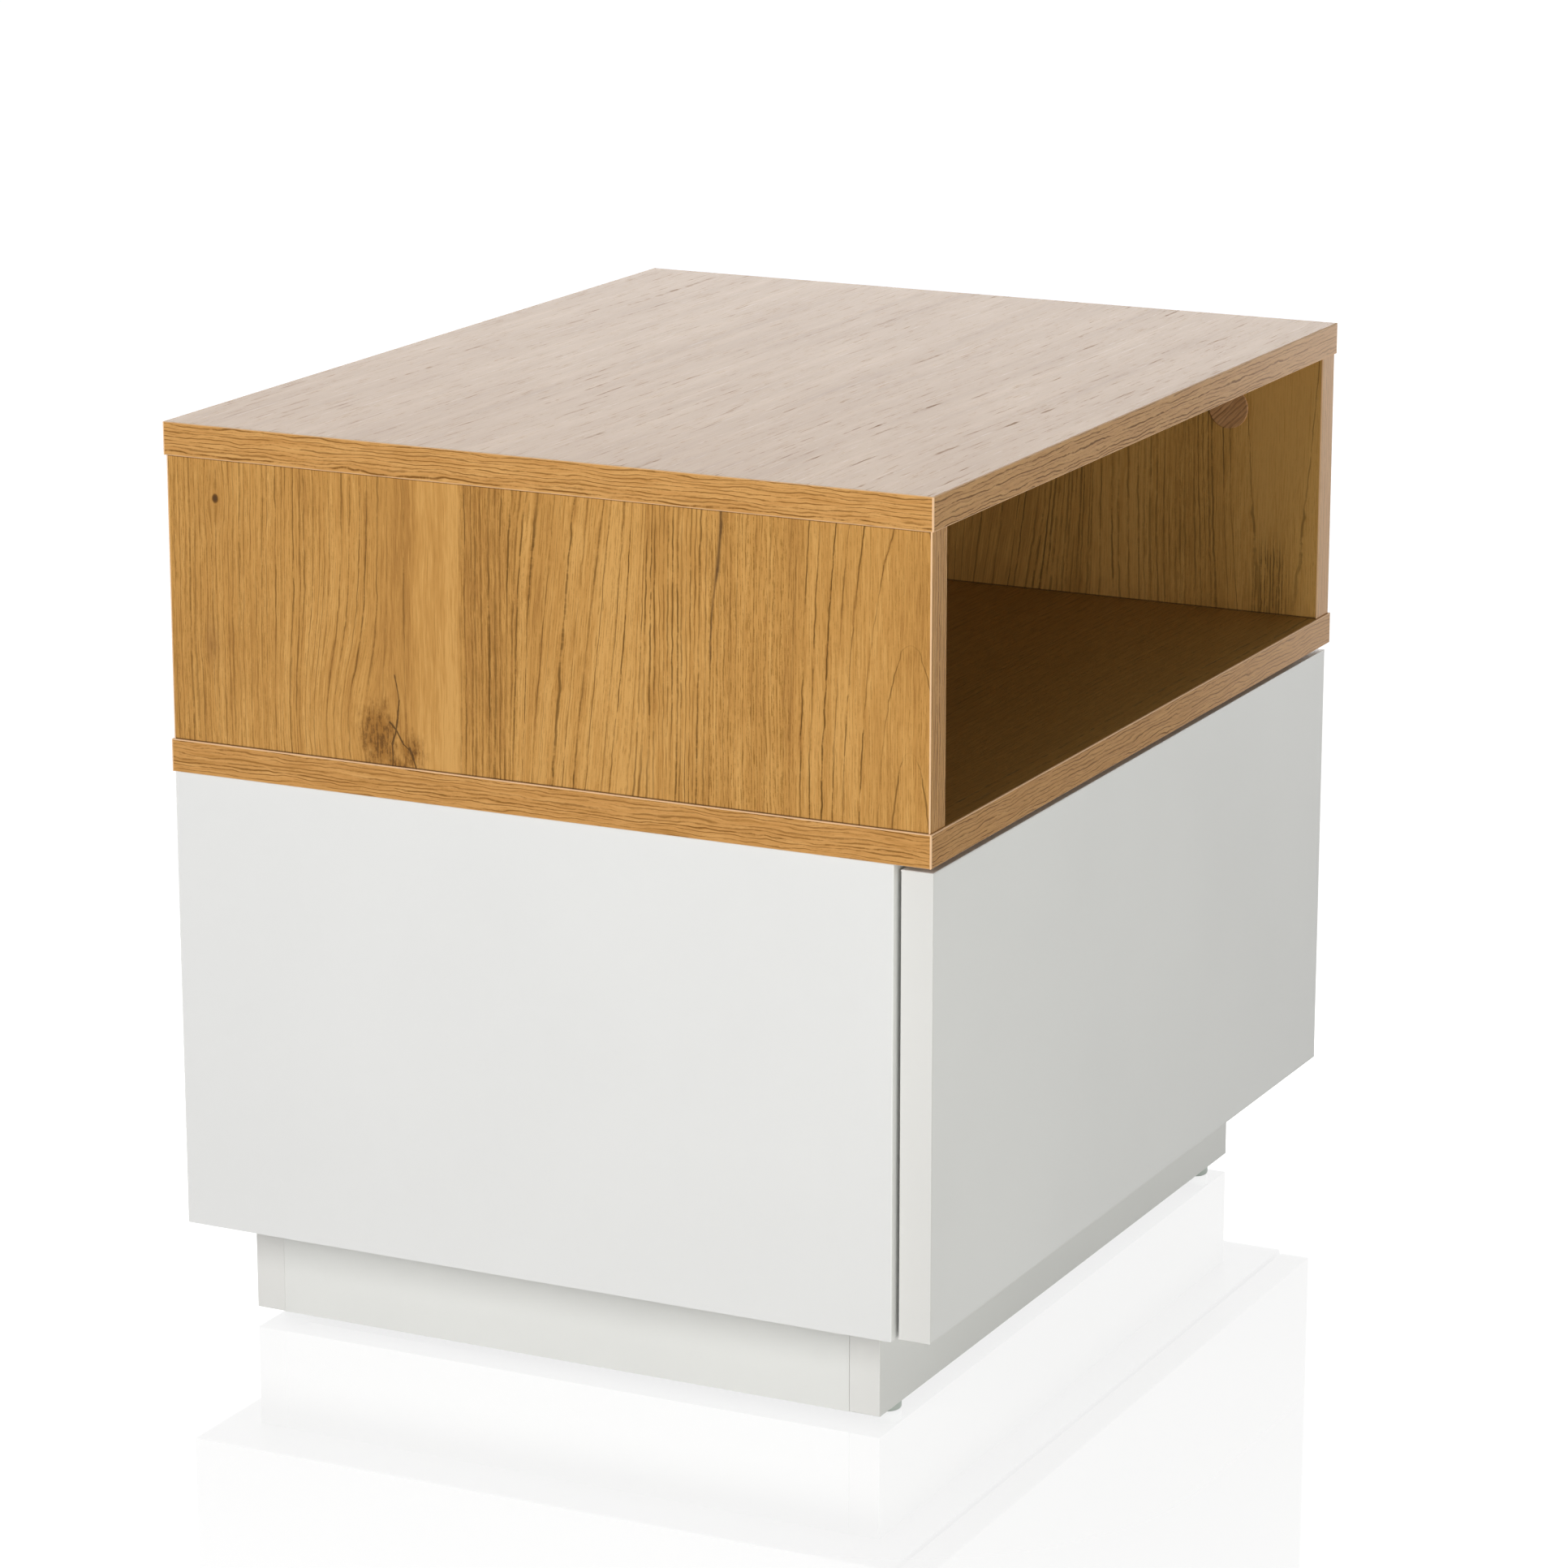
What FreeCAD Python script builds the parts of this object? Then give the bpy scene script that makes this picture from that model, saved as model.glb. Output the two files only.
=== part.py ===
import FreeCAD, Part
import math
import os

# Side table with an open compartment over a cabinet with one door.
# Millimetres, +Z up. The origin is on the floor under the middle of the table,
# the door faces -Y, and its hinges are on the +X side.

Vector = FreeCAD.Vector
X_AXIS = Vector(1, 0, 0)
Y_AXIS = Vector(0, 1, 0)
Z_AXIS = Vector(0, 0, 1)

# Carcass
WIDTH = 500.0
DEPTH = 400.0
BOARD = 16.0                   # thickness of every coated board
EDGE_BAND = 0.8                # thickness of the bands glued on the board edges
EDGE_ROUND = 0.5               # rounding of the bands' outer edges
FILLET_LIMIT = 0.8             # largest share of a wall that a rounding takes
INSET = 1.0                    # uprights and side panels stand back from the boards above
COMPARTMENT_HEIGHT = 138.0
PANEL_HEIGHT = 228.0           # side panels of the cabinet

# Plinth and glides
PLINTH_HEIGHT = 51.0
PLINTH_SIDE_SETBACK = 32.5
PLINTH_FRONT_SETBACK = 39.5
PLINTH_BACK_SETBACK = 20.0
GLIDE_HEIGHT = 5.0
GLIDE_RADIUS = 7.0
GLIDE_ROUND = 1.5
GLIDE_FROM_END = 25.0
NAIL_RADIUS = 1.0
NAIL_HEAD_RADIUS = 2.2
NAIL_HEAD = 0.8
NAIL_RECESS = 1.5
NAIL_IN_BOARD = 14.0

# Back panels, held in grooves
BACK_PANEL = 3.0
BACK_PANEL_FROM_REAR = 12.0
GROOVE_DEPTH = 5.0
GROOVE_END_PLAY = 0.5
GROOVE_SIDE_PLAY = 0.1

# Door
DOOR_SETBACK = 1.0             # front of the door behind the front of the boards above
DOOR_GAP = 2.0                 # between the back of the door and the side panels
DOOR_SIDE_REVEAL = 4.5
DOOR_TOP_GAP = 3.0
DOOR_BOTTOM_LIFT = 0.5

# Cam locks, their bolts and their caps
CAM_RADIUS = 7.5
CAM_PAST_BOLT = 4.5            # how far the cam reaches past the axis of its bolt
CAM_DISTANCE = 30.0            # from the joint to the axis of the cam
CAM_FROM_ENDS = 52.0           # from the front and rear edges of the uprights
CAM_SLOT_LENGTH = 8.0
CAM_SLOT_WIDTH = 1.4
CAM_SLOT_DEPTH = 2.0
BOLT_THREAD_RADIUS = 2.5
BOLT_COVER = 5.0               # board left beyond the end of the bolt
BOLT_COLLAR_RADIUS = 3.5
BOLT_COLLAR = 8.0
BOLT_STEM_RADIUS = 2.0
BOLT_HEAD_RADIUS = 3.0
BOLT_HEAD = 4.0
CAP_RADIUS = 11.0
CAP_THICKNESS = 0.8
CAP_ROUND = 0.4
BORE_PLAY = 0.1

# Dowels and the long screws under the uprights
DOWEL_RADIUS = 4.0
DOWEL_LENGTH = 30.0
DOWEL_COVER = 4.0
DOWEL_END_PLAY = 1.0
DOWEL_FROM_CAM = 32.0
PLINTH_DOWEL_SPACING = 26.0
LONG_SCREW_LENGTH = 50.0
LONG_SCREW_SHANK_RADIUS = 3.5
LONG_SCREW_THREAD_RADIUS = 2.5
LONG_SCREW_HEAD_RADIUS = 5.0
LONG_SCREW_HEAD = 3.5
LONG_SCREW_FROM_DOWEL = 25.0   # from the dowels, towards the middle of the upright

# Small screws, all of one kind
SCREW_RADIUS = 1.75
SCREW_HEAD_RADIUS = 3.5
SCREW_HEAD = 1.6
SCREW_COVER = 3.0              # board left beyond the tip of a screw

# Plinth brackets
BRACKET_LEG = 25.0
BRACKET_WIDTH = 16.0
BRACKET_SHEET = 2.0
BRACKET_FROM_CENTRE = 100.0

# Door hinges
HINGE_PLAY = 0.4               # of the arm, to the door in front and the panel behind
HINGE_AXIS_FROM_EDGE = 2.0
KNUCKLE_RADIUS = 3.0
KNUCKLE_HALF_HEIGHT = 14.0
ARM_HALF_HEIGHT = 5.0
KNUCKLE_GAP = 0.3
KNUCKLE_NOTCH_PLAY = 1.6
PIN_RADIUS = 1.5
PIN_RUNNING_PLAY = 0.05
CUP_RADIUS = 17.5
CUP_DEPTH = 11.5
CUP_WALL = 1.0
CUP_FROM_NOTCH = 3.4           # wood left between the bores of the cup and the knuckles
CUP_RIM = 1.5
CUP_SCREW_FROM_CENTRE = 24.0
WING_HALF_WIDTH = 12.0
WING_END = 4.5                 # from the cup's screws to the ends of its wings
PLATE_SCREW_FROM_EDGE = 37.0
PLATE_SCREW_FROM_CENTRE = 11.0
PLATE_MARGIN = 7.0             # round the plate's screws, above and below
PLATE_END = 13.0               # from the plate's screws to its rear end
PLATE_FROM_CAP = 4.0           # from the upper plate to the cap above it

# Push latch at the free edge of the door
PLUNGER_RADIUS = 4.0
PLUNGER_LENGTH = 36.0
PLUNGER_REST_GAP = 0.3
PLUNGER_RUNNING_PLAY = 0.05
MAGNET_RADIUS = 2.5
MAGNET_LENGTH = 4.0
STRIKE_RADIUS = 5.5
STRIKE_THICKNESS = 1.2
SPRING_LENGTH = 15.5
SPRING_WIRE_RADIUS = 0.35
SPRING_TURNS = 8
STEPS_PER_TURN = 10
SPRING_SIDE_PLAY = 0.65
SPRING_END_PLAY = 0.05
LATCH_WALL = 2.0
LATCH_END_WALL = 4.0
LATCH_SETBACK = 5.0
LATCH_LUG = 3.0
LATCH_LUG_LENGTH = 24.0
LATCH_LUG_END = 5.5            # from the latch's screws to the ends of its lugs
LATCH_SCREW_PLAY = 1.5         # from the heads of its screws to the housing

# Levels, from the floor up
PLINTH_Z = (GLIDE_HEIGHT, GLIDE_HEIGHT + PLINTH_HEIGHT)
PANEL_Z = (PLINTH_Z[1], PLINTH_Z[1] + PANEL_HEIGHT)
BASE_Z = (PLINTH_Z[1], PLINTH_Z[1] + BOARD)
MIDDLE_Z = (PANEL_Z[1], PANEL_Z[1] + BOARD)
UPRIGHT_Z = (MIDDLE_Z[1], MIDDLE_Z[1] + COMPARTMENT_HEIGHT)
TOP_Z = (UPRIGHT_Z[1], UPRIGHT_Z[1] + BOARD)

# Spans across and from front to back
OUTER_X = WIDTH / 2 - INSET
INNER_X = OUTER_X - BOARD
CENTRE_X = OUTER_X - BOARD / 2
FRONT_Y = -DEPTH / 2
BACK_Y = DEPTH / 2
UPRIGHT_Y = (FRONT_Y + INSET, BACK_Y - INSET)
DOOR_Y = (FRONT_Y + DOOR_SETBACK, FRONT_Y + DOOR_SETBACK + BOARD)
PANEL_Y = (DOOR_Y[1] + DOOR_GAP, BACK_Y - INSET)
DOOR_X = WIDTH / 2 - DOOR_SIDE_REVEAL
DOOR_Z = (PANEL_Z[0] + DOOR_BOTTOM_LIFT, PANEL_Z[1] - DOOR_TOP_GAP)
BACK_PANEL_Y = (BACK_Y - BACK_PANEL_FROM_REAR - BACK_PANEL, BACK_Y - BACK_PANEL_FROM_REAR)
PLINTH_X = WIDTH / 2 - PLINTH_SIDE_SETBACK
PLINTH_Y = (FRONT_Y + PLINTH_FRONT_SETBACK, BACK_Y - PLINTH_BACK_SETBACK)

# Joint positions from front to back
CAM_YS = (UPRIGHT_Y[0] + CAM_FROM_ENDS, UPRIGHT_Y[1] - CAM_FROM_ENDS)
DOWEL_YS = (CAM_YS[0] + DOWEL_FROM_CAM, CAM_YS[1] - DOWEL_FROM_CAM)
LONG_SCREW_YS = (DOWEL_YS[0] + LONG_SCREW_FROM_DOWEL, DOWEL_YS[1] - LONG_SCREW_FROM_DOWEL)
SIDES = (-1, 1)
MITRED = 1                     # corner style of a swept wire


def box(x, y, z):
    """Box over three spans, each given as two ends in any order."""
    low = Vector(min(x), min(y), min(z))
    return Part.makeBox(abs(x[1] - x[0]), abs(y[1] - y[0]), abs(z[1] - z[0]), low)


def rod(start, direction, radius, length):
    """Cylinder that starts at a point and runs along a direction."""
    return Part.makeCylinder(radius, length, start, direction)


def fuse(shapes):
    return shapes[0].fuse(shapes[1:]).removeSplitter()


def cut(shape, tools):
    return shape.cut(Part.makeCompound(tools))


def export(name, solids):
    """Write one solid, or a group of separate solids, as one node."""
    shape = solids[0] if len(solids) == 1 else Part.makeCompound(solids)
    shape.exportStep("parts/" + name + ".step")


def edge_band(span, axis, side, long_ends):
    """Band on one edge face of a board, with its outer edges rounded.

    long_ends says whether the band's own ends are outer corners of the board.
    """
    face = span[axis][(side + 1) // 2]
    band_span = list(span)
    band_span[axis] = (face, face - side * EDGE_BAND)
    band = box(*band_span)
    longest = max(edge.Length for edge in band.Edges)
    outer = []
    for edge in band.Edges:
        ends = [vertex.Point[axis] for vertex in edge.Vertexes]
        on_face = all(abs(value - face) < 1e-6 for value in ends)
        if on_face and (long_ends or abs(edge.Length - longest) < 1e-6):
            outer.append(edge)
    return band.makeFillet(min(EDGE_ROUND, FILLET_LIMIT * EDGE_BAND), outer)


def edged_board(x, y, z, banded):
    """Core of a board and its edge bands.

    banded lists the edge faces as (axis, side), and the first two bands cover
    the ends of the ones that follow.
    """
    span = [tuple(sorted(x)), tuple(sorted(y)), tuple(sorted(z))]
    bands = []
    for order, (axis, side) in enumerate(banded):
        bands.append(edge_band(span, axis, side, order < 2))
        low, high = span[axis]
        span[axis] = (low + EDGE_BAND, high) if side < 0 else (low, high - EDGE_BAND)
    return box(*span), bands


def board_centre(joint):
    """Middle of the board that ends at a joint, at the axis of the joint's cam."""
    point, along, inward = joint
    return point + along * CAM_DISTANCE


# A joint is (point, along, inward): the point lies on the plane where the end of
# one board meets the face of another, along runs into the first board from its
# end, and inward points to its face that looks into the table.
def cam_joints():
    joints = []
    for side in SIDES:
        for y in CAM_YS:
            inward = X_AXIS * -side
            joints.append((Vector(side * CENTRE_X, y, TOP_Z[0]), Z_AXIS * -1, inward))
            joints.append((Vector(side * CENTRE_X, y, PANEL_Z[1]), Z_AXIS * -1, inward))
            joints.append((Vector(side * INNER_X, y, sum(BASE_Z) / 2), inward, Z_AXIS))
    return joints


def dowel_joints():
    """Points and directions of the dowels, which run into the ends of boards."""
    joints = []
    for side in SIDES:
        inward = X_AXIS * -side
        for y in DOWEL_YS:
            joints.append((Vector(side * CENTRE_X, y, TOP_Z[0]), Z_AXIS * -1))
            joints.append((Vector(side * CENTRE_X, y, PANEL_Z[1]), Z_AXIS * -1))
            joints.append((Vector(side * INNER_X, y, sum(BASE_Z) / 2), inward))
        joints.append((Vector(side * CENTRE_X, 0, MIDDLE_Z[1]), Z_AXIS))
        plinth_x = side * (PLINTH_X - BOARD / 2)
        for height in SIDES:
            z = sum(PLINTH_Z) / 2 + height * PLINTH_DOWEL_SPACING / 2
            joints.append((Vector(plinth_x, PLINTH_Y[0] + BOARD, z), Y_AXIS))
            joints.append((Vector(plinth_x, PLINTH_Y[1] - BOARD, z), Y_AXIS * -1))
    return joints


def cam_lock(joint):
    """Zinc cam with a cross slot in its face and a pocket for the bolt's head."""
    inward = joint[2]
    face = board_centre(joint) + inward * (BOARD / 2)
    body = rod(face, inward * -1, CAM_RADIUS, BOARD / 2 + CAM_PAST_BOLT)
    pocket = rod(board_centre(joint), joint[1] * -1, BOLT_HEAD_RADIUS + BORE_PLAY, CAM_RADIUS)
    dome = Part.makeSphere(BOLT_HEAD_RADIUS + BORE_PLAY, board_centre(joint))
    across = joint[1].cross(inward)
    slots = []
    for long_axis, short_axis in ((joint[1], across), (across, joint[1])):
        reach = long_axis * (CAM_SLOT_LENGTH / 2) + short_axis * (CAM_SLOT_WIDTH / 2)
        near = face - reach - inward * CAM_SLOT_DEPTH
        far = face + reach
        slots.append(box((near.x, far.x), (near.y, far.y), (near.z, far.z)))
    return cut(body, [pocket, dome] + slots)


def cam_bolt(joint):
    """Steel bolt: screwed into one board, its head caught by the cam in the other."""
    point, along, inward = joint
    thread_length = BOARD - BOLT_COVER
    thread = rod(point - along * thread_length, along, BOLT_THREAD_RADIUS, thread_length)
    collar = rod(point, along, BOLT_COLLAR_RADIUS, BOLT_COLLAR)
    stem_length = CAM_DISTANCE - BOLT_COLLAR - BOLT_HEAD / 2
    stem = rod(point + along * BOLT_COLLAR, along, BOLT_STEM_RADIUS, stem_length)
    head = rod(point + along * (CAM_DISTANCE - BOLT_HEAD / 2), along, BOLT_STEM_RADIUS, BOLT_HEAD / 2)
    ball = Part.makeSphere(BOLT_HEAD_RADIUS, point + along * CAM_DISTANCE)
    return fuse([thread, collar, stem, head, ball])


def cam_bores(joint):
    """Bores for a cam and its bolt, in the two boards that they join."""
    point, along, inward = joint
    face = board_centre(joint) + inward * (BOARD / 2)
    cam_bore = rod(face, inward * -1, CAM_RADIUS + BORE_PLAY, BOARD / 2 + CAM_PAST_BOLT + BORE_PLAY)
    stem_bore = rod(point, along, BOLT_COLLAR_RADIUS + BORE_PLAY, CAM_DISTANCE)
    thread_bore = rod(point, along * -1, BOLT_THREAD_RADIUS, BOARD - BOLT_COVER)
    return [cam_bore, stem_bore, thread_bore]


def cover_cap(joint):
    """Round cap stuck on the face of the board over a cam."""
    inward = joint[2]
    base = board_centre(joint) + inward * (BOARD / 2)
    cap = rod(base, inward, CAP_RADIUS, CAP_THICKNESS)
    top = base + inward * CAP_THICKNESS
    rim = [edge for edge in cap.Edges if (edge.CenterOfMass - top).Length < 1e-3 and edge.Closed]
    return cap.makeFillet(min(CAP_ROUND, FILLET_LIMIT * CAP_THICKNESS), rim)


def dowel(joint):
    point, along = joint
    in_face = BOARD - DOWEL_COVER
    return rod(point - along * in_face, along, DOWEL_RADIUS, DOWEL_LENGTH)


def dowel_bore(joint):
    point, along = joint
    in_face = BOARD - DOWEL_COVER
    return rod(point - along * in_face, along, DOWEL_RADIUS, DOWEL_LENGTH + DOWEL_END_PLAY)


def long_screw_points():
    """Where the long screws enter the middle board from below."""
    return [Vector(side * CENTRE_X, y, MIDDLE_Z[0]) for side in SIDES for y in LONG_SCREW_YS]


def long_screw(point):
    """Screw with a sunk head, up through the middle board into an upright."""
    slope = LONG_SCREW_HEAD_RADIUS - LONG_SCREW_SHANK_RADIUS
    head = rod(point, Z_AXIS, LONG_SCREW_HEAD_RADIUS, LONG_SCREW_HEAD - slope)
    cone_start = point + Z_AXIS * (LONG_SCREW_HEAD - slope)
    cone = Part.makeCone(LONG_SCREW_HEAD_RADIUS, LONG_SCREW_SHANK_RADIUS, slope, cone_start, Z_AXIS)
    shank = rod(point, Z_AXIS, LONG_SCREW_SHANK_RADIUS, BOARD)
    thread = rod(point, Z_AXIS, LONG_SCREW_THREAD_RADIUS, LONG_SCREW_LENGTH)
    return fuse([head, cone, shank, thread])


def screw(seat, direction, through):
    """Small screw: its head lies on a seat, its thread passes a sheet into a board."""
    head = rod(seat, direction * -1, SCREW_HEAD_RADIUS, SCREW_HEAD)
    thread = rod(seat, direction, SCREW_RADIUS, through + BOARD - SCREW_COVER)
    return fuse([head, thread])


def screw_bore(seat, direction, through):
    return rod(seat, direction, SCREW_RADIUS, through + BOARD - SCREW_COVER)


def bracket_joints():
    """Corner lines of the plinth brackets: side, and position from front to back."""
    middle = sum(PLINTH_Y) / 2
    return [(side, middle + offset) for side in SIDES
            for offset in (-BRACKET_FROM_CENTRE, BRACKET_FROM_CENTRE)]


def plinth_bracket(joint):
    """Steel angle between the inner face of a plinth side and the base board."""
    side, y = joint
    corner_x = side * (PLINTH_X - BOARD)
    y_span = (y - BRACKET_WIDTH / 2, y + BRACKET_WIDTH / 2)
    upright = box((corner_x, corner_x - side * BRACKET_SHEET), y_span,
                  (PLINTH_Z[1] - BRACKET_LEG, PLINTH_Z[1]))
    flat = box((corner_x, corner_x - side * BRACKET_LEG), y_span,
               (PLINTH_Z[1] - BRACKET_SHEET, PLINTH_Z[1]))
    bores = [screw_bore(*placing) for placing in bracket_screw_places(joint)]
    return cut(fuse([upright, flat]), bores)


def bracket_screw_places(joint):
    side, y = joint
    corner_x = side * (PLINTH_X - BOARD)
    middle = (BRACKET_LEG + BRACKET_SHEET) / 2
    low = Vector(corner_x - side * BRACKET_SHEET, y, PLINTH_Z[1] - middle)
    high = Vector(corner_x - side * middle, y, PLINTH_Z[1] - BRACKET_SHEET)
    return [(low, X_AXIS * side, BRACKET_SHEET), (high, Z_AXIS, BRACKET_SHEET)]


def glide_points():
    """Centres of the glides, on the floor."""
    ys = (PLINTH_Y[0] + BOARD / 2, PLINTH_Y[1] - BOARD / 2)
    return [Vector(side * (PLINTH_X - GLIDE_FROM_END), y, 0) for side in SIDES for y in ys]


def glide_nail(point):
    head = rod(point + Z_AXIS * NAIL_RECESS, Z_AXIS, NAIL_HEAD_RADIUS, NAIL_HEAD)
    length = GLIDE_HEIGHT + NAIL_IN_BOARD - NAIL_RECESS
    shank = rod(point + Z_AXIS * NAIL_RECESS, Z_AXIS, NAIL_RADIUS, length)
    return fuse([head, shank])


def glide(point):
    """Plastic glide with a rounded foot, moulded round the head of its nail."""
    body = rod(point, Z_AXIS, GLIDE_RADIUS, GLIDE_HEIGHT)
    foot = [edge for edge in body.Edges if edge.Closed and edge.CenterOfMass.z < 1e-3]
    rounded = body.makeFillet(min(GLIDE_ROUND, FILLET_LIMIT * GLIDE_HEIGHT), foot)
    return rounded.cut(glide_nail(point))


def back_panel(z, play=(0.0, 0.0)):
    """Thin panel over a clear height z, reaching into the grooves round it.

    With play, it is the space of the grooves.
    """
    reach = GROOVE_DEPTH - GROOVE_END_PLAY + play[0]
    return box((-INNER_X - reach, INNER_X + reach),
               (BACK_PANEL_Y[0] - play[1], BACK_PANEL_Y[1] + play[1]),
               (z[0] - reach, z[1] + reach))


# The hinges turn about one vertical line at the right-hand end of the door.
# The upper one is as high as the cap above its plate allows, and the lower one is
# as far from its end of the door.
HINGE_X = DOOR_X - HINGE_AXIS_FROM_EDGE
HINGE_Y = PANEL_Y[0] - HINGE_PLAY - KNUCKLE_RADIUS
HINGE_SHEET = DOOR_GAP - 2 * HINGE_PLAY
NOTCH_RADIUS = KNUCKLE_RADIUS + KNUCKLE_NOTCH_PLAY
CUP_X = HINGE_X - NOTCH_RADIUS - CUP_FROM_NOTCH - CUP_RADIUS
WING_HALF_HEIGHT = CUP_SCREW_FROM_CENTRE + WING_END
PLATE_HALF_HEIGHT = PLATE_SCREW_FROM_CENTRE + PLATE_MARGIN
UPPER_HINGE_Z = PANEL_Z[1] - CAM_DISTANCE - CAP_RADIUS - PLATE_FROM_CAP - PLATE_HALF_HEIGHT
HINGE_ZS = (sum(DOOR_Z) - UPPER_HINGE_Z, UPPER_HINGE_Z)


def hinge_axis_rod(z, radius, low, high):
    return rod(Vector(HINGE_X, HINGE_Y, z + low), Z_AXIS, radius, high - low)


def knuckle_spans():
    """Heights, from the middle of a hinge, of its two knuckles on the door's side."""
    start = ARM_HALF_HEIGHT + KNUCKLE_GAP
    return ((-KNUCKLE_HALF_HEIGHT, -start), (start, KNUCKLE_HALF_HEIGHT))


def cup_screw_places(z):
    return [(Vector(CUP_X, DOOR_Y[1], z + end * CUP_SCREW_FROM_CENTRE), Y_AXIS * -1, HINGE_SHEET)
            for end in SIDES]


def cup_flange(z):
    """Flat flange of the cup, let into the back of the door."""
    y_span = (DOOR_Y[1] - HINGE_SHEET, DOOR_Y[1])
    rim = rod(Vector(CUP_X, y_span[0], z), Y_AXIS, CUP_RADIUS + CUP_RIM, HINGE_SHEET)
    wings = box((CUP_X - WING_HALF_WIDTH, CUP_X + WING_HALF_WIDTH), y_span,
                (z - WING_HALF_HEIGHT, z + WING_HALF_HEIGHT))
    tongue = box((CUP_X, HINGE_X), y_span, (z - KNUCKLE_HALF_HEIGHT, z + KNUCKLE_HALF_HEIGHT))
    return fuse([rim, wings, tongue])


def hinge_cup(z):
    """Cup with its flange and the two outer knuckles."""
    bowl = rod(Vector(CUP_X, DOOR_Y[1], z), Y_AXIS * -1, CUP_RADIUS, CUP_DEPTH)
    knuckles = [hinge_axis_rod(z, KNUCKLE_RADIUS, low, high) for low, high in knuckle_spans()]
    hollow = rod(Vector(CUP_X, DOOR_Y[1], z), Y_AXIS * -1, CUP_RADIUS - CUP_WALL, CUP_DEPTH - CUP_WALL)
    start = ARM_HALF_HEIGHT + KNUCKLE_GAP
    gap = hinge_axis_rod(z, KNUCKLE_RADIUS + HINGE_PLAY, -start, start)
    bore = hinge_pin(z)
    screws = [screw_bore(*place) for place in cup_screw_places(z)]
    body = cut(fuse([bowl, cup_flange(z)]), [hollow, gap])
    return cut(fuse([body] + knuckles), [bore] + screws)


def hinge_pin(z):
    return hinge_axis_rod(z, PIN_RADIUS, -KNUCKLE_HALF_HEIGHT, KNUCKLE_HALF_HEIGHT)


def arm_screw_places(z):
    y = PANEL_Y[0] + PLATE_SCREW_FROM_EDGE
    x = INNER_X - HINGE_SHEET
    return [(Vector(x, y, z + end * PLATE_SCREW_FROM_CENTRE), X_AXIS, HINGE_SHEET) for end in SIDES]


def hinge_arm(z):
    """Middle knuckle, strap through the gap behind the door, and plate on the panel."""
    knuckle = hinge_axis_rod(z, KNUCKLE_RADIUS, -ARM_HALF_HEIGHT, ARM_HALF_HEIGHT)
    y_span = (PANEL_Y[0] - HINGE_PLAY - HINGE_SHEET, PANEL_Y[0] - HINGE_PLAY)
    plate_x = (INNER_X - HINGE_SHEET, INNER_X)
    strap = box((plate_x[0], HINGE_X), y_span, (z - ARM_HALF_HEIGHT, z + ARM_HALF_HEIGHT))
    neck = box(plate_x, (y_span[0], PANEL_Y[0] + HINGE_SHEET), (z - ARM_HALF_HEIGHT, z + ARM_HALF_HEIGHT))
    plate = box(plate_x, (PANEL_Y[0] + HINGE_SHEET, PANEL_Y[0] + PLATE_SCREW_FROM_EDGE + PLATE_END),
                (z - PLATE_HALF_HEIGHT, z + PLATE_HALF_HEIGHT))
    bore = hinge_axis_rod(z, PIN_RADIUS + PIN_RUNNING_PLAY, -ARM_HALF_HEIGHT, ARM_HALF_HEIGHT)
    screws = [screw_bore(*place) for place in arm_screw_places(z)]
    return cut(fuse([knuckle, strap, neck, plate]), [bore] + screws)


def hinge_pockets(z):
    """What the door gives up for one hinge: cup bore, flange recess and knuckle notch."""
    bowl = rod(Vector(CUP_X, DOOR_Y[1], z), Y_AXIS * -1, CUP_RADIUS + BORE_PLAY, CUP_DEPTH + BORE_PLAY)
    notch_height = KNUCKLE_HALF_HEIGHT + KNUCKLE_GAP
    notch = hinge_axis_rod(z, NOTCH_RADIUS, -notch_height, notch_height)
    screws = [screw_bore(*place) for place in cup_screw_places(z)]
    return [bowl, cup_flange(z), notch] + screws


# The latch lies on the inner face of the left-hand side panel.
LATCH_HALF_WIDTH = PLUNGER_RADIUS + LATCH_WALL
LATCH_SCREW_FROM_CENTRE = LATCH_HALF_WIDTH + LATCH_SCREW_PLAY + SCREW_HEAD_RADIUS
LATCH_LUG_HALF_HEIGHT = LATCH_SCREW_FROM_CENTRE + LATCH_LUG_END
LATCH_X = -INNER_X + LATCH_HALF_WIDTH
LATCH_Z = sum(DOOR_Z) / 2
PLUNGER_START = DOOR_Y[1] + STRIKE_THICKNESS + PLUNGER_REST_GAP
PLUNGER_Y = (PLUNGER_START, PLUNGER_START + PLUNGER_LENGTH)
SPRING_Y = (PLUNGER_Y[1], PLUNGER_Y[1] + SPRING_LENGTH)
SPRING_RADIUS = PLUNGER_RADIUS - SPRING_WIRE_RADIUS - SPRING_SIDE_PLAY
LATCH_Y = (PANEL_Y[0] + LATCH_SETBACK, SPRING_Y[1] + LATCH_END_WALL)


def latch_rod(y_span, radius):
    start = Vector(LATCH_X, y_span[0], LATCH_Z)
    return rod(start, Y_AXIS, radius, y_span[1] - y_span[0])


def latch_screw_places():
    x = -INNER_X + LATCH_LUG
    y = sum(LATCH_Y) / 2
    return [(Vector(x, y, LATCH_Z + end * LATCH_SCREW_FROM_CENTRE), X_AXIS * -1, LATCH_LUG)
            for end in SIDES]


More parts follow.
